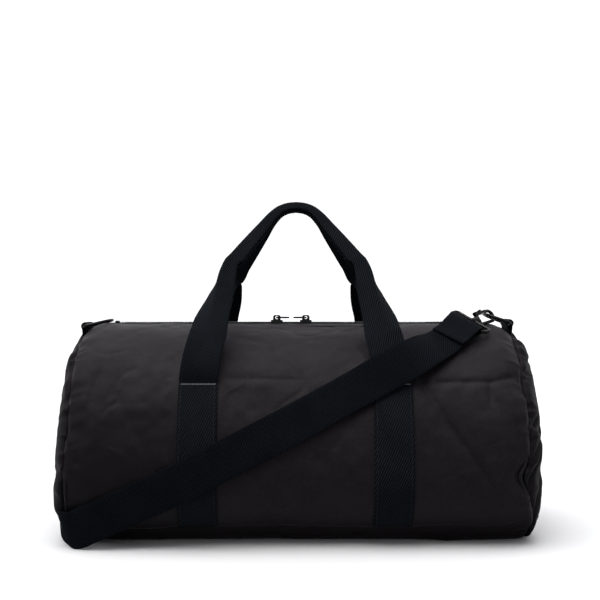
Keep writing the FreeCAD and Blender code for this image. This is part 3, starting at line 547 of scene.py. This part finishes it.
def make_world():
    """A studio that is bright overhead and dim towards the ground."""
    world = bpy.data.worlds.new("studio")
    bpy.context.scene.world = world
    world.use_nodes = True
    tree = world.node_tree
    background = tree.nodes["Background"]
    place = tree.nodes.new("ShaderNodeTexCoord")
    split = tree.nodes.new("ShaderNodeSeparateXYZ")
    shade = tree.nodes.new("ShaderNodeValToRGB")
    height = node(tree, "ShaderNodeMapRange", From_Min=-1.0)
    tree.links.new(place.outputs["Generated"], split.inputs[0])
    tree.links.new(split.outputs["Z"], height.inputs["Value"])
    tree.links.new(height.outputs["Result"], shade.inputs[0])
    stops = shade.color_ramp.elements
    stops.remove(stops[1])
    stops[0].position = WORLD_LEVELS[0][0]
    for i, (position, level) in enumerate(WORLD_LEVELS):
        stop = stops.new(position) if i else stops[0]
        stop.color = (level, level, level * WORLD_BLUE, 1.0)
    tree.links.new(shade.outputs[0], background.inputs["Color"])
    start, end, brighter = WORLD_BEHIND
    behind = node(tree, "ShaderNodeMapRange", From_Min=start, From_Max=end, To_Min=1.0, To_Max=brighter)
    tree.links.new(split.outputs["Y"], behind.inputs["Value"])
    tree.links.new(behind.outputs["Result"], background.inputs["Strength"])


def make_stage():
    """A plain white floor, a white backdrop that lights nothing, and a dark sheet under the bag."""
    glow = bpy.data.materials.new("backdrop_white")
    glow.use_nodes = True
    tree = glow.node_tree
    tree.nodes.remove(tree.nodes["Principled BSDF"])
    emission = node(tree, "ShaderNodeEmission", Color=(1.0, 1.0, 1.0, 1.0), Strength=1.1)
    tree.links.new(emission.outputs[0], tree.nodes["Material Output"].inputs["Surface"])
    white = new_material("stage_white", (0.93, 0.93, 0.93), 1.0, 0.0)[0]
    dark = new_material("stage_dark", (0.004, 0.004, 0.004), 0.5, 0.0)[0]
    bpy.ops.mesh.primitive_plane_add(size=FLOOR_SIZE, location=(0.0, 0.0, 0.0))
    floor = bpy.context.object
    bpy.ops.mesh.primitive_uv_sphere_add(segments=64, ring_count=32, radius=BACKDROP_R)
    backdrop = bpy.context.object
    backdrop.visible_shadow = False
    bpy.ops.mesh.primitive_plane_add(size=1.0, location=(0.0, 0.0, SHEET_Z))
    under = bpy.context.object
    under.visible_camera = False
    under.visible_shadow = False
    under.scale = SHEET_SIZE
    for thing, name, material, met in ((floor, "floor", white, False), (backdrop, "backdrop", glow, False),
                                       (under, "under", dark, True)):
        thing.name = name
        thing.data.materials.append(material)
        thing.visible_diffuse = met
        thing.visible_glossy = met
        thing.visible_transmission = False


# ------------ bag body

def draw_in(x):
    """How far the section has drawn in and sunk towards the end seams."""
    t = np.clip((np.abs(x) - FULL_X) / (SEAM_X - FULL_X), 0.0, 1.0) ** 2
    return SEAM_SHRINK * t, SEAM_SINK * t


def girth_point(s, inset, sink):
    """Half depth, height and outward normal at a girth distance from the middle of the base."""
    s, inset, sink = np.broadcast_arrays(s, inset, sink)
    low = -0.5 * math.pi + (s - GIRTH[0]) / LOW_R
    side = (s - GIRTH[1]) / SIDE_R
    top = JOIN + (s - GIRTH[2]) / TOP_R
    which = [s < GIRTH[0], s < GIRTH[1], s < GIRTH[2]]
    angle = np.select(which, [-0.5 * math.pi, low, side], top)
    radius = np.select(which, [LOW_R, LOW_R, SIDE_R], TOP_R) - inset
    centre_y = np.select(which, [s, BASE_FLAT, -SIDE_C], 0.0)
    centre_z = np.where(which[2], LOW_R, TOP_Z) - sink
    normal_y = np.cos(angle)
    normal_z = np.sin(angle)
    return centre_y + radius * normal_y, centre_z + radius * normal_z, normal_y, normal_z


def on_girth(x, s, side, lift, inset=0.0, sink=0.0):
    """Points that stand a lift off the bag's smooth shape, and the outward normals there."""
    half, z, normal_y, normal_z = girth_point(s, inset, sink)
    normal = np.stack([0.0 * z, side * normal_y, normal_z], -1)
    return np.stack(np.broadcast_arrays(x, side * (half + lift * normal_y), z + lift * normal_z), -1), normal


def girth_at(z):
    """Girth distance of a height on the rounded sides."""
    if z < LOW_R:
        return GIRTH[0] + LOW_R * (0.5 * math.pi + math.asin((z - LOW_R) / LOW_R))
    return GIRTH[1] + SIDE_R * math.asin((z - LOW_R) / SIDE_R)


def seam_girth(x):
    """The wandering seam between the base and the side panels."""
    base = girth_at(21.5)
    wander = 2.4 * noise(x / 55.0 + 3.2, x * 0.0, 11) + 0.8 * noise(x / 16.0, x * 0.0, 12)
    corners = (7.0 + 9.0 * (x > 0.0)) * ramp(np.abs(x), 200.0, 238.0)
    dip = 4.0 * ramp(-x, 105.0, 150.0) * ramp(x, -236.0, -190.0)
    return base + wander + corners - dip


def relief(x, s, side):
    """How far the cloth of the barrel stands off its smooth shape."""
    inset, sink = draw_in(x)
    z = girth_point(s, inset, sink)[1]
    seed = 20 if side < 0.0 else 40
    lift = 0.0
    for i, (height, along, around) in enumerate(CLOTH_WAVES):
        lift = lift + height * noise(x / along, s / around, seed + i)
    ridge = np.abs(noise(x / 46.0 + 0.6 * s / 46.0, s / 38.0 - 0.5 * x / 38.0, seed + 8))
    lift = lift + 1.5 * np.exp(-ridge / 0.07) * noise(x / 60.0, s / 60.0, seed + 9)
    edge = SEAM_X - np.abs(x)
    pucker = noise(s / 10.0 + 0.25 * noise(x / 20.0, s / 15.0, seed + 4), x / 60.0, seed + 5)
    lift = lift + 1.7 * (0.5 - 1.6 * np.abs(pucker)) * np.exp(-edge / 10.0)
    broad = noise(s / 26.0, x / 90.0, seed + 6)
    lift = lift + 1.8 * broad * np.exp(-edge / 34.0) * (1.0 - np.exp(-edge / 6.0))
    lift = lift - SEAM_TUCK * np.exp(-edge / 2.6)
    if side < 0.0:
        for points, depth, width in CREASES:
            away = line_distance(x, z, points)
            lift = lift - CREASE_DEPTH * depth * np.exp(-away / width)
        for dent_x, dent_z, radius, depth in DENTS:
            away = np.hypot(x - dent_x, z - dent_z)
            lift = lift - depth * np.exp(-(away / radius) ** 2)
        under = 1.0 - ramp(line_distance(x, z, [(place[0], place[2]) for place in STRAP_FRONT]), 22.0, 34.0)
        lift = lift * (1.0 - under) + under * np.minimum(lift, -0.2)
    beside = ramp(np.abs(np.abs(x) - HANDLE_X), 21.5, 33.0)
    above = ramp(s, girth_at(STITCH_Z) + 4.0, girth_at(STITCH_Z) + 30.0)
    flat = np.minimum(beside + above, 1.0)
    lift = lift * flat - 0.15 * (1.0 - flat)
    lift = lift + BASE_SAG * np.exp(-((s - BASE_SAG_GIRTH) / 17.0) ** 2)
    seam = np.abs(s - seam_girth(x))
    tuck = noise(x / 9.0, s / 40.0, seed + 7)
    lift = lift + flat * (0.5 * tuck * np.exp(-seam / 9.0)) - 0.9 * np.exp(-seam / 1.6)
    near_zip = GIRTH[3] - s
    lift = lift - 0.9 * np.exp(-np.abs(near_zip - SLOT) / 2.0)
    return lift


def seam_pull(x, z):
    """How far the end seams are pulled along the bag: inwards halfway up and out at the corner."""
    left = 4.0 * ramp(-x, 170.0, 236.0) * ramp(z, 60.0, 120.0)
    right = (6.5 * ramp(60.0 - z, 0.0, 36.0) - 6.0 * np.exp(-((z - 74.0) / 11.0) ** 2)
             - 1.5 * np.exp(-((z - 165.0) / 14.0) ** 2) - 1.5 * ramp(z, 178.0, 215.0))
    return left + right * ramp(x, 176.0, 236.0)


def skin_grid(xs, lows, highs, count, side, lift, rough=1.0):
    """Points of the barrel's cloth between two girth distances at each x, with their UVs."""
    t = np.linspace(0.0, 1.0, count)[None]
    s = lows[:, None] + (highs - lows)[:, None] * t
    x = np.broadcast_to(xs[:, None], s.shape)
    inset, sink = draw_in(x)
    half, z, normal_y, normal_z = girth_point(s, inset, sink)
    stand = lift + rough * relief(x, s, side)
    half = half + stand * normal_y
    z = z + stand * normal_z
    return np.stack([x + seam_pull(x, z), side * half, z], -1), np.stack([x, s * side], -1)


def slab(grids):
    """Closed rings from an outer and an inner grid with their UVs."""
    (outer, outer_uv), (inner, inner_uv) = grids
    return (np.concatenate([outer, inner[:, ::-1]], 1)[None],
            np.concatenate([outer_uv, inner_uv[:, ::-1]], 1)[None])


def panel_stations(end=SEAM_X, step=2.3):
    """Stations along the bag, closer together near the seams."""
    return np.linspace(-end, end, int(2.0 * end / step) + 1)


def under_grid(xs, high, count, lift, lowest):
    """Points of cloth that runs under the bag, from a girth distance in front to the same behind."""
    front, back = [skin_grid(xs, np.zeros(xs.shape), high, count, side, lift) for side in FACES.values()]
    points = np.concatenate([front[0][:, ::-1], back[0][:, 1:]], 1)
    points[..., 2] = np.maximum(points[..., 2], lowest)
    return points, np.concatenate([front[1][:, ::-1], back[1][:, 1:]], 1)


def make_barrel():
    """Front, back and base panels, the ends of the zipper opening, and the lining."""
    xs = panel_stations()
    top = np.full(xs.shape, GIRTH[3] - SLOT)
    for face, side in FACES.items():
        low = seam_girth(xs) - 1.0
        grids = [skin_grid(xs, low, top, 150, side, -depth) for depth in (0.0, SKIN)]
        piece = build(face + "_panel_cloth", *slab(grids), FABRIC, "body_fabric", "bag")
        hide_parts(face + "_panel")
    halves = [under_grid(xs, seam_girth(xs), 50, -depth - 0.5, GROUND_GAP + depth) for depth in (0.0, SKIN)]
    piece = build("base_panel_cloth", *slab(halves), FABRIC, "body_fabric", "bag")
    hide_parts("bottom_panel")
    inner_top = top - (TAPE_OUT + 1.0 - SLOT)
    linings = [under_grid(xs, inner_top, 110, -SKIN - depth, 1.3 + depth) for depth in (0.95, 1.45)]
    piece = build("body_lining_cloth", *slab(linings), LINING, "lining", "bag")
    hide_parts("body_lining")
    for side, sign in SIDES.items():
        ends = np.linspace(sign * (ZIP_X + 0.5), sign * SEAM_X, 18)
        grids = []
        for depth in (0.3, 0.3 + SKIN):
            s = np.linspace(GIRTH[3] - SLOT - 1.0, GIRTH[3] + SLOT + 1.0, 17)
            x, s = np.meshgrid(ends, s, indexing="ij")
            inset, sink = draw_in(x)
            tuck = SEAM_TUCK * np.exp(-(SEAM_X - np.abs(x)) / 2.6)
            stand = 0.5 * noise(x / 7.0, s / 7.0, 71) - depth - tuck
            grids.append((on_girth(x, s, -1.0, stand, inset, sink)[0], pair(x, -s)))
        piece = build("zipper_end_cloth_" + side, *slab(grids), FABRIC, "body_fabric", "bag")
        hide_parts("zipper_end_" + side)


def girth_loop(count):
    """Places once round the bag: distance run, girth distance from the base, and front or back."""
    loop = np.linspace(0.0, 2.0 * GIRTH[3], count, endpoint=False)
    front = loop <= GIRTH[3]
    return loop, np.where(front, loop, 2.0 * GIRTH[3] - loop), np.where(front, -1.0, 1.0)


def dome_grid(sign, depth):
    """Rings of a soft end from its seam to its middle, with puckers drawn into the seam."""
    loop, s, y_sign = girth_loop(320)
    rows = []
    uvs = []
    for turn in np.linspace(0.0, 0.5 * math.pi, 40):
        out = DOME_OUT[sign] * math.sin(turn) ** 1.15
        draw = DOME_DRAW * (1.0 - math.cos(turn))
        inset = SEAM_SHRINK + draw + depth
        half, z, normal_y, normal_z = girth_point(s, inset, SEAM_SINK)
        tilt = math.atan2(math.sin(turn) * DOME_DRAW, math.cos(turn) * DOME_OUT[sign])
        way = loop * y_sign
        in_way = np.full(s.shape, draw)
        pucker = noise(way / 9.0 + 40.0, in_way / 30.0, 81 + int(sign))
        fold = noise(way / 24.0 + 40.0, in_way / 55.0, 91 + int(sign))
        soft = noise(way / 60.0 + 20.0, in_way / 40.0, 95 + int(sign))
        stand = 3.0 * (0.5 - 1.6 * np.abs(pucker)) * math.exp(-draw / 14.0)
        stand = stand + 3.4 * fold * math.exp(-draw / 40.0) * (1.0 - math.exp(-draw / 3.0))
        reach = (1.0 - math.exp(-draw / 2.0)) * math.exp(-draw / 45.0)
        for start_z, slope, width, deep in END_FOLDS[sign]:
            away = z - start_z - slope * draw
            stand = stand - deep * np.exp(-(away / width) ** 2) * reach
        stand = stand + BASE_SAG * np.exp(-((s - BASE_SAG_GIRTH) / 17.0) ** 2) * math.exp(-draw / 12.0)
        stand = stand + 1.4 * soft * min(1.0, draw / 20.0) - SEAM_TUCK * math.exp(-draw / 1.6)
        radial = stand * math.cos(tilt)
        x = sign * (SEAM_X + out - depth * math.sin(tilt)) + sign * stand * math.sin(tilt)
        y = y_sign * (half + radial * normal_y)
        height = np.maximum(z + radial * normal_z, 0.2 + depth)
        rows.append(np.stack([x + seam_pull(x, height) * math.exp(-draw / 40.0), y, height], -1))
        uvs.append(pair(way, draw + out))
    rim = rows[-1]
    middle = np.array([rim[:, 0].mean(), 0.0, rim[:, 2].mean()])
    for shrink in np.linspace(0.92, 0.02, 22):
        ring = middle + (rim - middle) * shrink
        soft = noise(ring[:, 1] / 38.0 + 9.0, ring[:, 2] / 34.0, 97 + int(sign))
        ring[:, 0] += sign * (2.4 * (1.0 - shrink ** 2) + 1.6 * soft * (1.0 - shrink))
        rows.append(ring)
        uvs.append(np.stack([ring[:, 1], ring[:, 2]], -1))
    return np.array(rows), np.array(uvs)


def make_ends():
    """The two soft ends in cloth painted darker as shade, their lining and the tape that binds each end seam
    inside.
    """
    for side, sign in SIDES.items():
        # the end panels take the cloth painted darker as shade
        for name, node_name, outer, inner, material, slot in (
                ("end_panel_cloth_", "end_panel_", 0.0, SKIN, SHADED_END_CLOTH, "body_fabric"),
                ("end_lining_cloth_", "end_lining_", SKIN + 0.5, SKIN + 1.0, LINING, "lining")):
            skins = [dome_grid(sign, depth) for depth in (outer, inner)]
            points = np.concatenate([skins[0][0][::-1], skins[1][0]], 0)
            uvs = np.concatenate([skins[0][1][::-1], skins[1][1]], 0)
            piece = build(name + side, points[None], uvs[None], material, slot, "bag")
            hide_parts(node_name + side)
        loop, s, y_sign = girth_loop(260)
        ripple = 0.3 * noise(loop / 6.0, loop * 0.0, 61)
        rings = []
        for across, off in BINDING_SHAPE:
            half, z = girth_point(s, 7.3 + across, SEAM_SINK)[:2]
            x = np.full(s.shape, sign * (233.0 + 0.8 * off)) + ripple
            rings.append(np.stack([x + seam_pull(x, z), y_sign * half, z], -1))
        rings = np.stack(rings, 1)
        uvs = pair(loop[:, None], np.arange(float(len(BINDING_SHAPE))))
        piece = build("seam_binding_tape_" + side, rings[None], uvs[None], BINDING, "binding", "bag", True)
        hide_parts("seam_binding_" + side)


# ------------ zipper

def make_zipper():
    """Woven tapes, coils made of real turns, and the topstitching beside the opening."""
    xs = panel_stations(ZIP_X, 3.0)
    for face, side in FACES.items():
        grids = []
        for depth in (1.25, 1.75):
            s = np.linspace(GIRTH[3] - TAPE_OUT, GIRTH[3] - 0.9, 18)
            x, s = np.meshgrid(xs, s, indexing="ij")
            stand = 0.12 * noise(x / 6.0, s / 5.0, 51) - depth
            grids.append((on_girth(x, s, side, stand)[0], pair(x, side * s)))
        piece = build("zipper_tape_cloth_" + face, *slab(grids), TAPE, "zipper_tape", "bag")
        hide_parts("zipper_tape_" + face)
        at = np.arange(-ZIP_X + 1.0, ZIP_X - 1.0, 1.5) + (0.75 if side > 0.0 else 0.0)
        turn = np.linspace(0.0, 2.0 * math.pi, 12, endpoint=False)
        wire = np.arange(6) * math.pi / 3.0
        out_y = 2.15 - 1.4 * np.cos(turn)
        out_z = TOP_Z + TOP_R - 0.15 + 0.75 * np.sin(turn)
        slant = 0.35 * np.sin(turn)
        middle = np.stack(np.broadcast_arrays(at[:, None] + slant[None], side * out_y[None], out_z[None]), -1)
        spoke_yz = np.stack([np.zeros(12), -side * np.cos(turn), np.sin(turn)], -1)
        ring = X_AXIS * np.cos(wire)[:, None] + spoke_yz[:, None] * np.sin(wire)[:, None]
        rings = middle[:, :, None] + COIL_WIRE_R * ring
        uvs = np.broadcast_to(pair(turn[:, None] * 1.4, wire * COIL_WIRE_R), (*rings.shape[:3], 2))
        piece = build("zipper_coil_turns_" + face, rings, uvs, COIL, "zipper_coil", "bag", True)
        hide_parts("zipper_coil_" + face)
        xs_row = np.arange(-ZIP_X, ZIP_X, 3.4)
        s = np.full(xs_row.shape, GIRTH[3] - SLOT - 3.5)
        places, normal = on_girth(xs_row, s, side, relief(xs_row, s, side) + 0.05)
        along = np.broadcast_to(X_AXIS, places.shape)
        dashes("zipper_topstitch_" + face, places, along, normal, 2.6, 0.3, THREAD, "bag")


# ------------ handles

def crown_point(turn):
    """A point on the crown of a handle's arch, by how far it has turned there."""
    return np.array([CROWN_ARC_R * math.sin(turn), LOOP_RISE - CROWN_ARC_R * (1.0 - math.cos(turn))])


def arch_point(place, stage, slope):
    """A point and its direction on the right half of a handle's arch, in its own plane."""
    down = np.array([math.cos(slope), -math.sin(slope)])
    steep = np.array([math.cos(LEG_SLOPE), -math.sin(LEG_SLOPE)])
    foot = np.array([LOOP_FOOT_X, 0.0])
    crown_end = crown_point(slope)
    gap = foot - crown_end
    run = (gap[0] * steep[1] - gap[1] * steep[0]) / (down[0] * steep[1] - down[1] * steep[0])
    corner = crown_end + down * run
    trim = LOOP_BEND_R * math.tan(0.5 * (LEG_SLOPE - slope))
    if stage == "crown":
        turn = math.radians(place)
        return crown_point(turn), np.array([math.cos(turn), -math.sin(turn)])
    if stage == "grip":
        return crown_end + down * ((run - trim) * place), down
    if stage == "bend":
        turn = slope + (LEG_SLOPE - slope) * place
        out = np.array([math.sin(slope), math.cos(slope)])
        centre = corner - down * trim - out * LOOP_BEND_R
        return (centre + np.array([math.sin(turn), math.cos(turn)]) * LOOP_BEND_R,
                np.array([math.cos(turn), -math.sin(turn)]))
    start = corner + steep * trim
    return start + (foot - start) * place, steep


def folded_section(half, fold, radius, inner, count=31):
    """Outline of webbing whose outer half is folded round behind by an angle in degrees."""
    theta = math.radians(fold)
    bend = max(0.5 * radius * theta, 0.4)
    c = np.linspace(-half, half, count)
    heading = theta * np.clip((c + bend) / (2.0 * bend), 0.0, 1.0)
    step = c[1] - c[0]
    middle = 0.5 * (heading[1:] + heading[:-1])
    r = np.concatenate([[0.0], np.cumsum(np.cos(middle) * step)])
    d = np.concatenate([[0.0], np.cumsum(-np.sin(middle) * step)])
    r = r - r.min() + inner
    d = d + 0.5 * radius * (1.0 - math.cos(theta))
    thin = 0.5 * WEB_T * (1.0 - 0.55 * np.abs(c / half) ** 14)
    line = np.stack([r, d], -1)
    normal = np.stack([np.sin(heading), np.cos(heading)], -1) * thin[:, None]
    return np.concatenate([line + normal, (line - normal)[::-1]])


def half_handle(front):
    """Stations of the right half of a handle from its crown to its foot at the base seam."""
    spread_rows = []
    for stage, place, half, fold, radius, inner in LOOP_SECTIONS:
        point, way = arch_point(place, stage, GRIP_SLOPE[front])
        if front > 0.0 and stage == "leg":
            inner = inner - BACK_WIDER * (1.0 - place) * min(1.0, 0.3 + 3.5 * place)
        spread_rows.append([point[0], point[1], 0.0, way[0], way[1], half, fold, radius, inner])
    rows = smooth_path(spread_rows, 3.0)
    lean = np.array([0.0, -front * math.sin(LOOP_LEAN), math.cos(LOOP_LEAN)])
    out = np.array([0.0, front * math.cos(LOOP_LEAN), math.sin(LOOP_LEAN)])
    hinge = np.array([0.0, front * HINGE_Y, HINGE_Z])
    path = hinge + rows[:, :1] * X_AXIS + rows[:, 1:2] * lean
    way = unit(rows[:, 3:5])
    side = -way[:, 1:2] * X_AXIS + way[:, :1] * lean
    face = np.broadcast_to(out, path.shape)
    shape = rows[:, 5:9]
    top = girth_at(STITCH_Z)
    s = np.arange(top, girth_at(22.0), -3.0)
    sewn, sewn_face = on_girth(HANDLE_X, s, front, WEB_GAP + 0.5 * WEB_T)
    sewn_side = np.broadcast_to(X_AXIS, sewn.shape)
    t = np.linspace(0.0, 1.0, 20)[1:-1, None]
    reach = np.linalg.norm(sewn[0] - path[-1])
    start_way = unit(path[-1] - path[-2])
    end_way = unit(np.array([0.06, -front * 0.35, -0.93]))
    free = curve(t, path[-1], sewn[0], start_way * reach, end_way * reach)
    free_side = unit(side[-1] * (1 - t) + X_AXIS * t)
    free_face = unit(out * (1 - t) + sewn_face[0] * t)
    path = np.concatenate([path, free, sewn])
    side = np.concatenate([side, free_side, sewn_side])
    face = np.concatenate([face, free_face, sewn_face])
    wide = np.full(len(free) + len(sewn), 0.5 * WEB_W)
    wide[:len(free)] = np.linspace(shape[-1, 0], 0.5 * WEB_W, len(free))
    flat = np.stack([wide, 0.0 * wide, np.full(wide.shape, shape[-1, 2]), -wide], -1)
    return path, side, face, np.concatenate([shape, flat])


def make_handle(name, front):
    """One length of webbing: sewn strip, free leg, folded grip, free leg and sewn strip."""
    path, side, face, shape = half_handle(front)
    tangent = unit(np.gradient(path, axis=0))
    side = square(side, tangent)
    across_both = np.cross(tangent, side)
    face = unit(across_both * np.sign((across_both * face).sum(-1, keepdims=True)))
    mirror = np.array([-1.0, 1.0, 1.0])
    path = np.concatenate([path[:0:-1] * mirror, path])
    side = np.concatenate([side[:0:-1] * mirror, side])
    face = np.concatenate([face[:0:-1] * mirror, face])
    shape = np.concatenate([shape[:0:-1], shape])
    sections = np.array([folded_section(*row) for row in shape])
    rings = sweep(path, side, face, sections)
    across = np.linspace(-0.5 * WEB_W, 0.5 * WEB_W, sections.shape[1] // 2)
    uvs = pair(np.concatenate([across, across[::-1]]), travel(path)[:, None])
    piece = build("handle_webbing_" + name, rings[None], uvs[None], WEBBING, "webbing", None)
    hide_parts("handle_loop_" + name, "handle_anchor_%s_left" % name, "handle_anchor_%s_right" % name)
    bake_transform(piece)
    sewn = np.flatnonzero(np.abs(np.abs(path[:, 0]) - HANDLE_X) < 0.01)
    for label, sign in SIDES.items():
        picked = sewn[np.sign(path[sewn, 0]) == sign]
        rows = []
        for edge in (-17.2, 17.2):
            line = path[picked] + side[picked] * edge + face[picked] * (0.5 * WEB_T)
            rows.append(spaced(np.concatenate([line, face[picked]], 1), 3.6))
        places = np.concatenate([row[0][:, :3] for row in rows])
        normal = unit(np.concatenate([row[0][:, 3:6] for row in rows]))
        along = np.concatenate([row[1] for row in rows])
        dashes("strip_stitches_%s_%s" % (name, label), places, along, normal, 2.7, 0.3, THREAD, "bag")


def make_cross_stitches():
    """Dense bars of thread where the webbing leaves the bag."""
    bar = np.arange(-17.6, 17.7, 0.75)
    xs = np.concatenate([sign * HANDLE_X + bar for sign in SIDES.values()])
    s = np.full(xs.shape, girth_at(STITCH_Z - 2.2))
    bars = [on_girth(xs, s, front, WEB_GAP + WEB_T) for front in FACES.values()]
    places, normals = [np.concatenate(part) for part in zip(*bars)]
    along = unit(np.cross(normals, X_AXIS) + 0.25 * X_AXIS)
    piece = dashes("cross_stitch_bars", places, along, normals, 1.6, 0.3, BAR_THREAD, "bag")
    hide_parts("handle_cross_stitches")


# ------------ shoulder strap

def half_turn(centre, start, normal, across, radius, steps=8):
    """Rows of centre and across for webbing that goes half way round a bar."""
    rows = []
    for i in range(steps + 1):
        turn = math.pi * i / steps
        rows.append([*(centre + normal * radius * math.cos(turn) + start * radius * math.sin(turn)), *across])
    return rows


def strap_route():
    """The strap's middle line and the direction across it, from its hem to the adjuster."""
    places = np.array(STRAP_FRONT)[:, :3]
    lean = np.radians(np.array(STRAP_FRONT)[:, 3])
    out = np.stack([0.0 * lean, -np.cos(lean), np.sin(lean)], -1)
    wide = unit(np.cross(out, np.gradient(places, axis=0)))
    wide = wide * np.sign(wide[:, 2:])
    along = unit(HOOK_A_RING - HOOK_A_BAR)
    across = np.array([0.70 * math.cos(HOOK_A_DIP), -0.72 * math.cos(HOOK_A_DIP), math.sin(HOOK_A_DIP)])
    across = unit(across - along * along.dot(across))
    across = across * np.sign(across.dot(wide[0]))
    normal = np.cross(across, along)
    normal = normal * np.sign(normal[2])
    hem = places[1] + (places[0] - places[1]) * STRAP_HEM
    rows = [[*(place + out[0] * 0.1), *wide[0]] for place in (hem, places[0])]
    rows += half_turn(HOOK_A_BAR, along, normal, across, BAR_TURN_R)
    drops = np.zeros((len(places), 1))
    drops[:3, 0] = (WEB_T + 0.3, WEB_T + 0.3, 0.5)
    rows += np.concatenate([places - out * drops, wide], 1).tolist()
    places = np.array([[x, y, 0.0] for x, y, wide in STRAP_ROUND])
    run = unit(np.gradient(places, axis=0))
    wide = square(np.array([wide for x, y, wide in STRAP_ROUND]), run)
    thick = np.abs(np.cross(run, wide)[:, 2])
    places[:, 2] = STRAP_LIFT + 0.5 * WEB_W * np.abs(wide[:, 2]) + 0.5 * WEB_T * thick
    rows += np.concatenate([places, wide], 1).tolist()
    ax = ADJUSTER_X
    bar_x, y, bar_z = HOOK_B_BAR
    floor = [(ax - 60.0, STRAP_LOW_Z), (ax - 26.0, STRAP_LOW_Z), (ax - 17.5, STRAP_LOW_Z + 0.2),
             (ax - 13.0, STRAP_LOW_Z + 1.8), (ax - 9.8, 6.4), (ax - 6.5, STRAP_OVER_Z - 2.2),
             (ax - 3.0, STRAP_OVER_Z), (ax + 3.0, STRAP_OVER_Z), (ax + 6.5, STRAP_OVER_Z - 2.2),
             (ax + 9.8, 6.9), (ax + 13.0, STRAP_PLY_Z + 0.1), (ax + 17.5, STRAP_PLY_Z),
             (bar_x - 45.0, STRAP_PLY_Z), (bar_x - 20.0, STRAP_PLY_Z + 1.6),
             (bar_x - 6.0, bar_z + BAR_TURN_R)]
    rows += [[x, y, z, *Y_AXIS] for x, z in floor]
    rows += half_turn(HOOK_B_BAR, X_AXIS, Z_AXIS, Y_AXIS, BAR_TURN_R)
    tail = [(bar_x - 8.0, STRAP_LOW_Z + 0.3), (bar_x - 28.0, STRAP_LOW_Z), (ax + 26.0, STRAP_LOW_Z),
            (ax + 15.0, STRAP_LOW_Z), (ax + 9.0, STRAP_LOW_Z + 0.5), (ax + 3.0, STRAP_LOW_Z + 0.8)]
    rows += [[x, y, z, *Y_AXIS] for x, z in tail]
    return rows


def make_strap():
    """The strap as one smooth ribbon, its sewn hem, and its own end round the adjuster."""
    rows = smooth_path(strap_route(), 3.5)
    path = rows[:, :3]
    tangent = unit(np.gradient(path, axis=0))
    side = square(rows[:, 3:6], tangent)
    run = travel(path)
    section = np.broadcast_to(webbing_section(0.5 * WEB_W), (len(path), WEB_POINTS, 2)).copy()
    cup = 0.35 * noise(run / 70.0, run * 0.0, 5)[:, None]
    section[..., 1] += cup * ((section[..., 0] / 20.0) ** 2 - 0.4)
    strap = ribbon("shoulder_strap_webbing", path, side, np.cross(tangent, side), section, run,
                   STRAP_WEB, "strap_webbing")
    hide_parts("shoulder_strap")
    turn = np.linspace(0.0, 2.0 * math.pi, 28, endpoint=False)
    centre = np.array([ADJUSTER_X, HOOK_B_BAR[1], ADJUSTER_MID_Z])
    spoke = np.stack([np.cos(turn), turn * 0.0, np.sin(turn)], -1)
    roll = centre + spoke * (END_ROLL_R + 0.5 * END_PLY - 0.45)
    section = webbing_section(0.5 * WEB_W - 0.2, END_PLY)
    piece = ribbon("strap_end_webbing", roll, np.broadcast_to(Y_AXIS, roll.shape), spoke, section,
                   turn * END_ROLL_R, STRAP_WEB, "strap_webbing", True)
    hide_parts("strap_end_loop")


def make_tabs():
    """Webbing tabs that come out of the end seams and go round the D-rings."""
    for side, sign in SIDES.items():
        low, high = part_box("d_ring_tab_" + side)
        radius = BAR_TURN_R
        bar_z = high.z / MM - radius - 0.5 * WEB_T
        bar_x = sign * max(abs(low.x), abs(high.x)) / MM - sign * (radius + 0.5 * WEB_T)
        points = [(bar_x - sign * 1.4, bar_z - 12.0), (bar_x - sign * 1.9, bar_z - 7.0)]
        for degrees in range(-40, 221, 20):
            turn = math.radians(degrees)
            points.append((bar_x - sign * radius * math.cos(turn), bar_z + radius * math.sin(turn)))
        points += [(bar_x + sign * 1.9, bar_z - 7.0), (bar_x + sign * 1.4, bar_z - 12.0)]
        path = smooth_path([(x, 0.0, z) for x, z in points], 1.2)
        across = np.broadcast_to(Y_AXIS, path.shape)
        face = np.cross(unit(np.gradient(path, axis=0)), across)
        piece = ribbon("d_ring_tab_webbing_" + side, path, across, face, webbing_section(TAB_HALF_W),
                       travel(path), WEBBING, "webbing")
        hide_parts("d_ring_tab_" + side)


def dress_hardware():
    """Plated metal on the hardware that the part already has in its true shape."""
    for metal, starts in ((METAL, ("d_ring_left", "d_ring_right", "hook_", "strap_adjuster")),
                          (ZIP_METAL, ("slider_", "pull_", "zipper_stop_"))):
        for name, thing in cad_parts.items():
            if name.startswith(starts):
                thing.data.materials.clear()
                thing.data.materials.append(metal)


make_camera()
make_strap()
make_world()
make_stage()
make_light()
make_barrel()
make_ends()
make_zipper()
for face_name, face_side in FACES.items():
    make_handle(face_name, face_side)
make_cross_stitches()
make_tabs()
dress_hardware()
bpy.context.scene.view_settings.view_transform = "Standard"
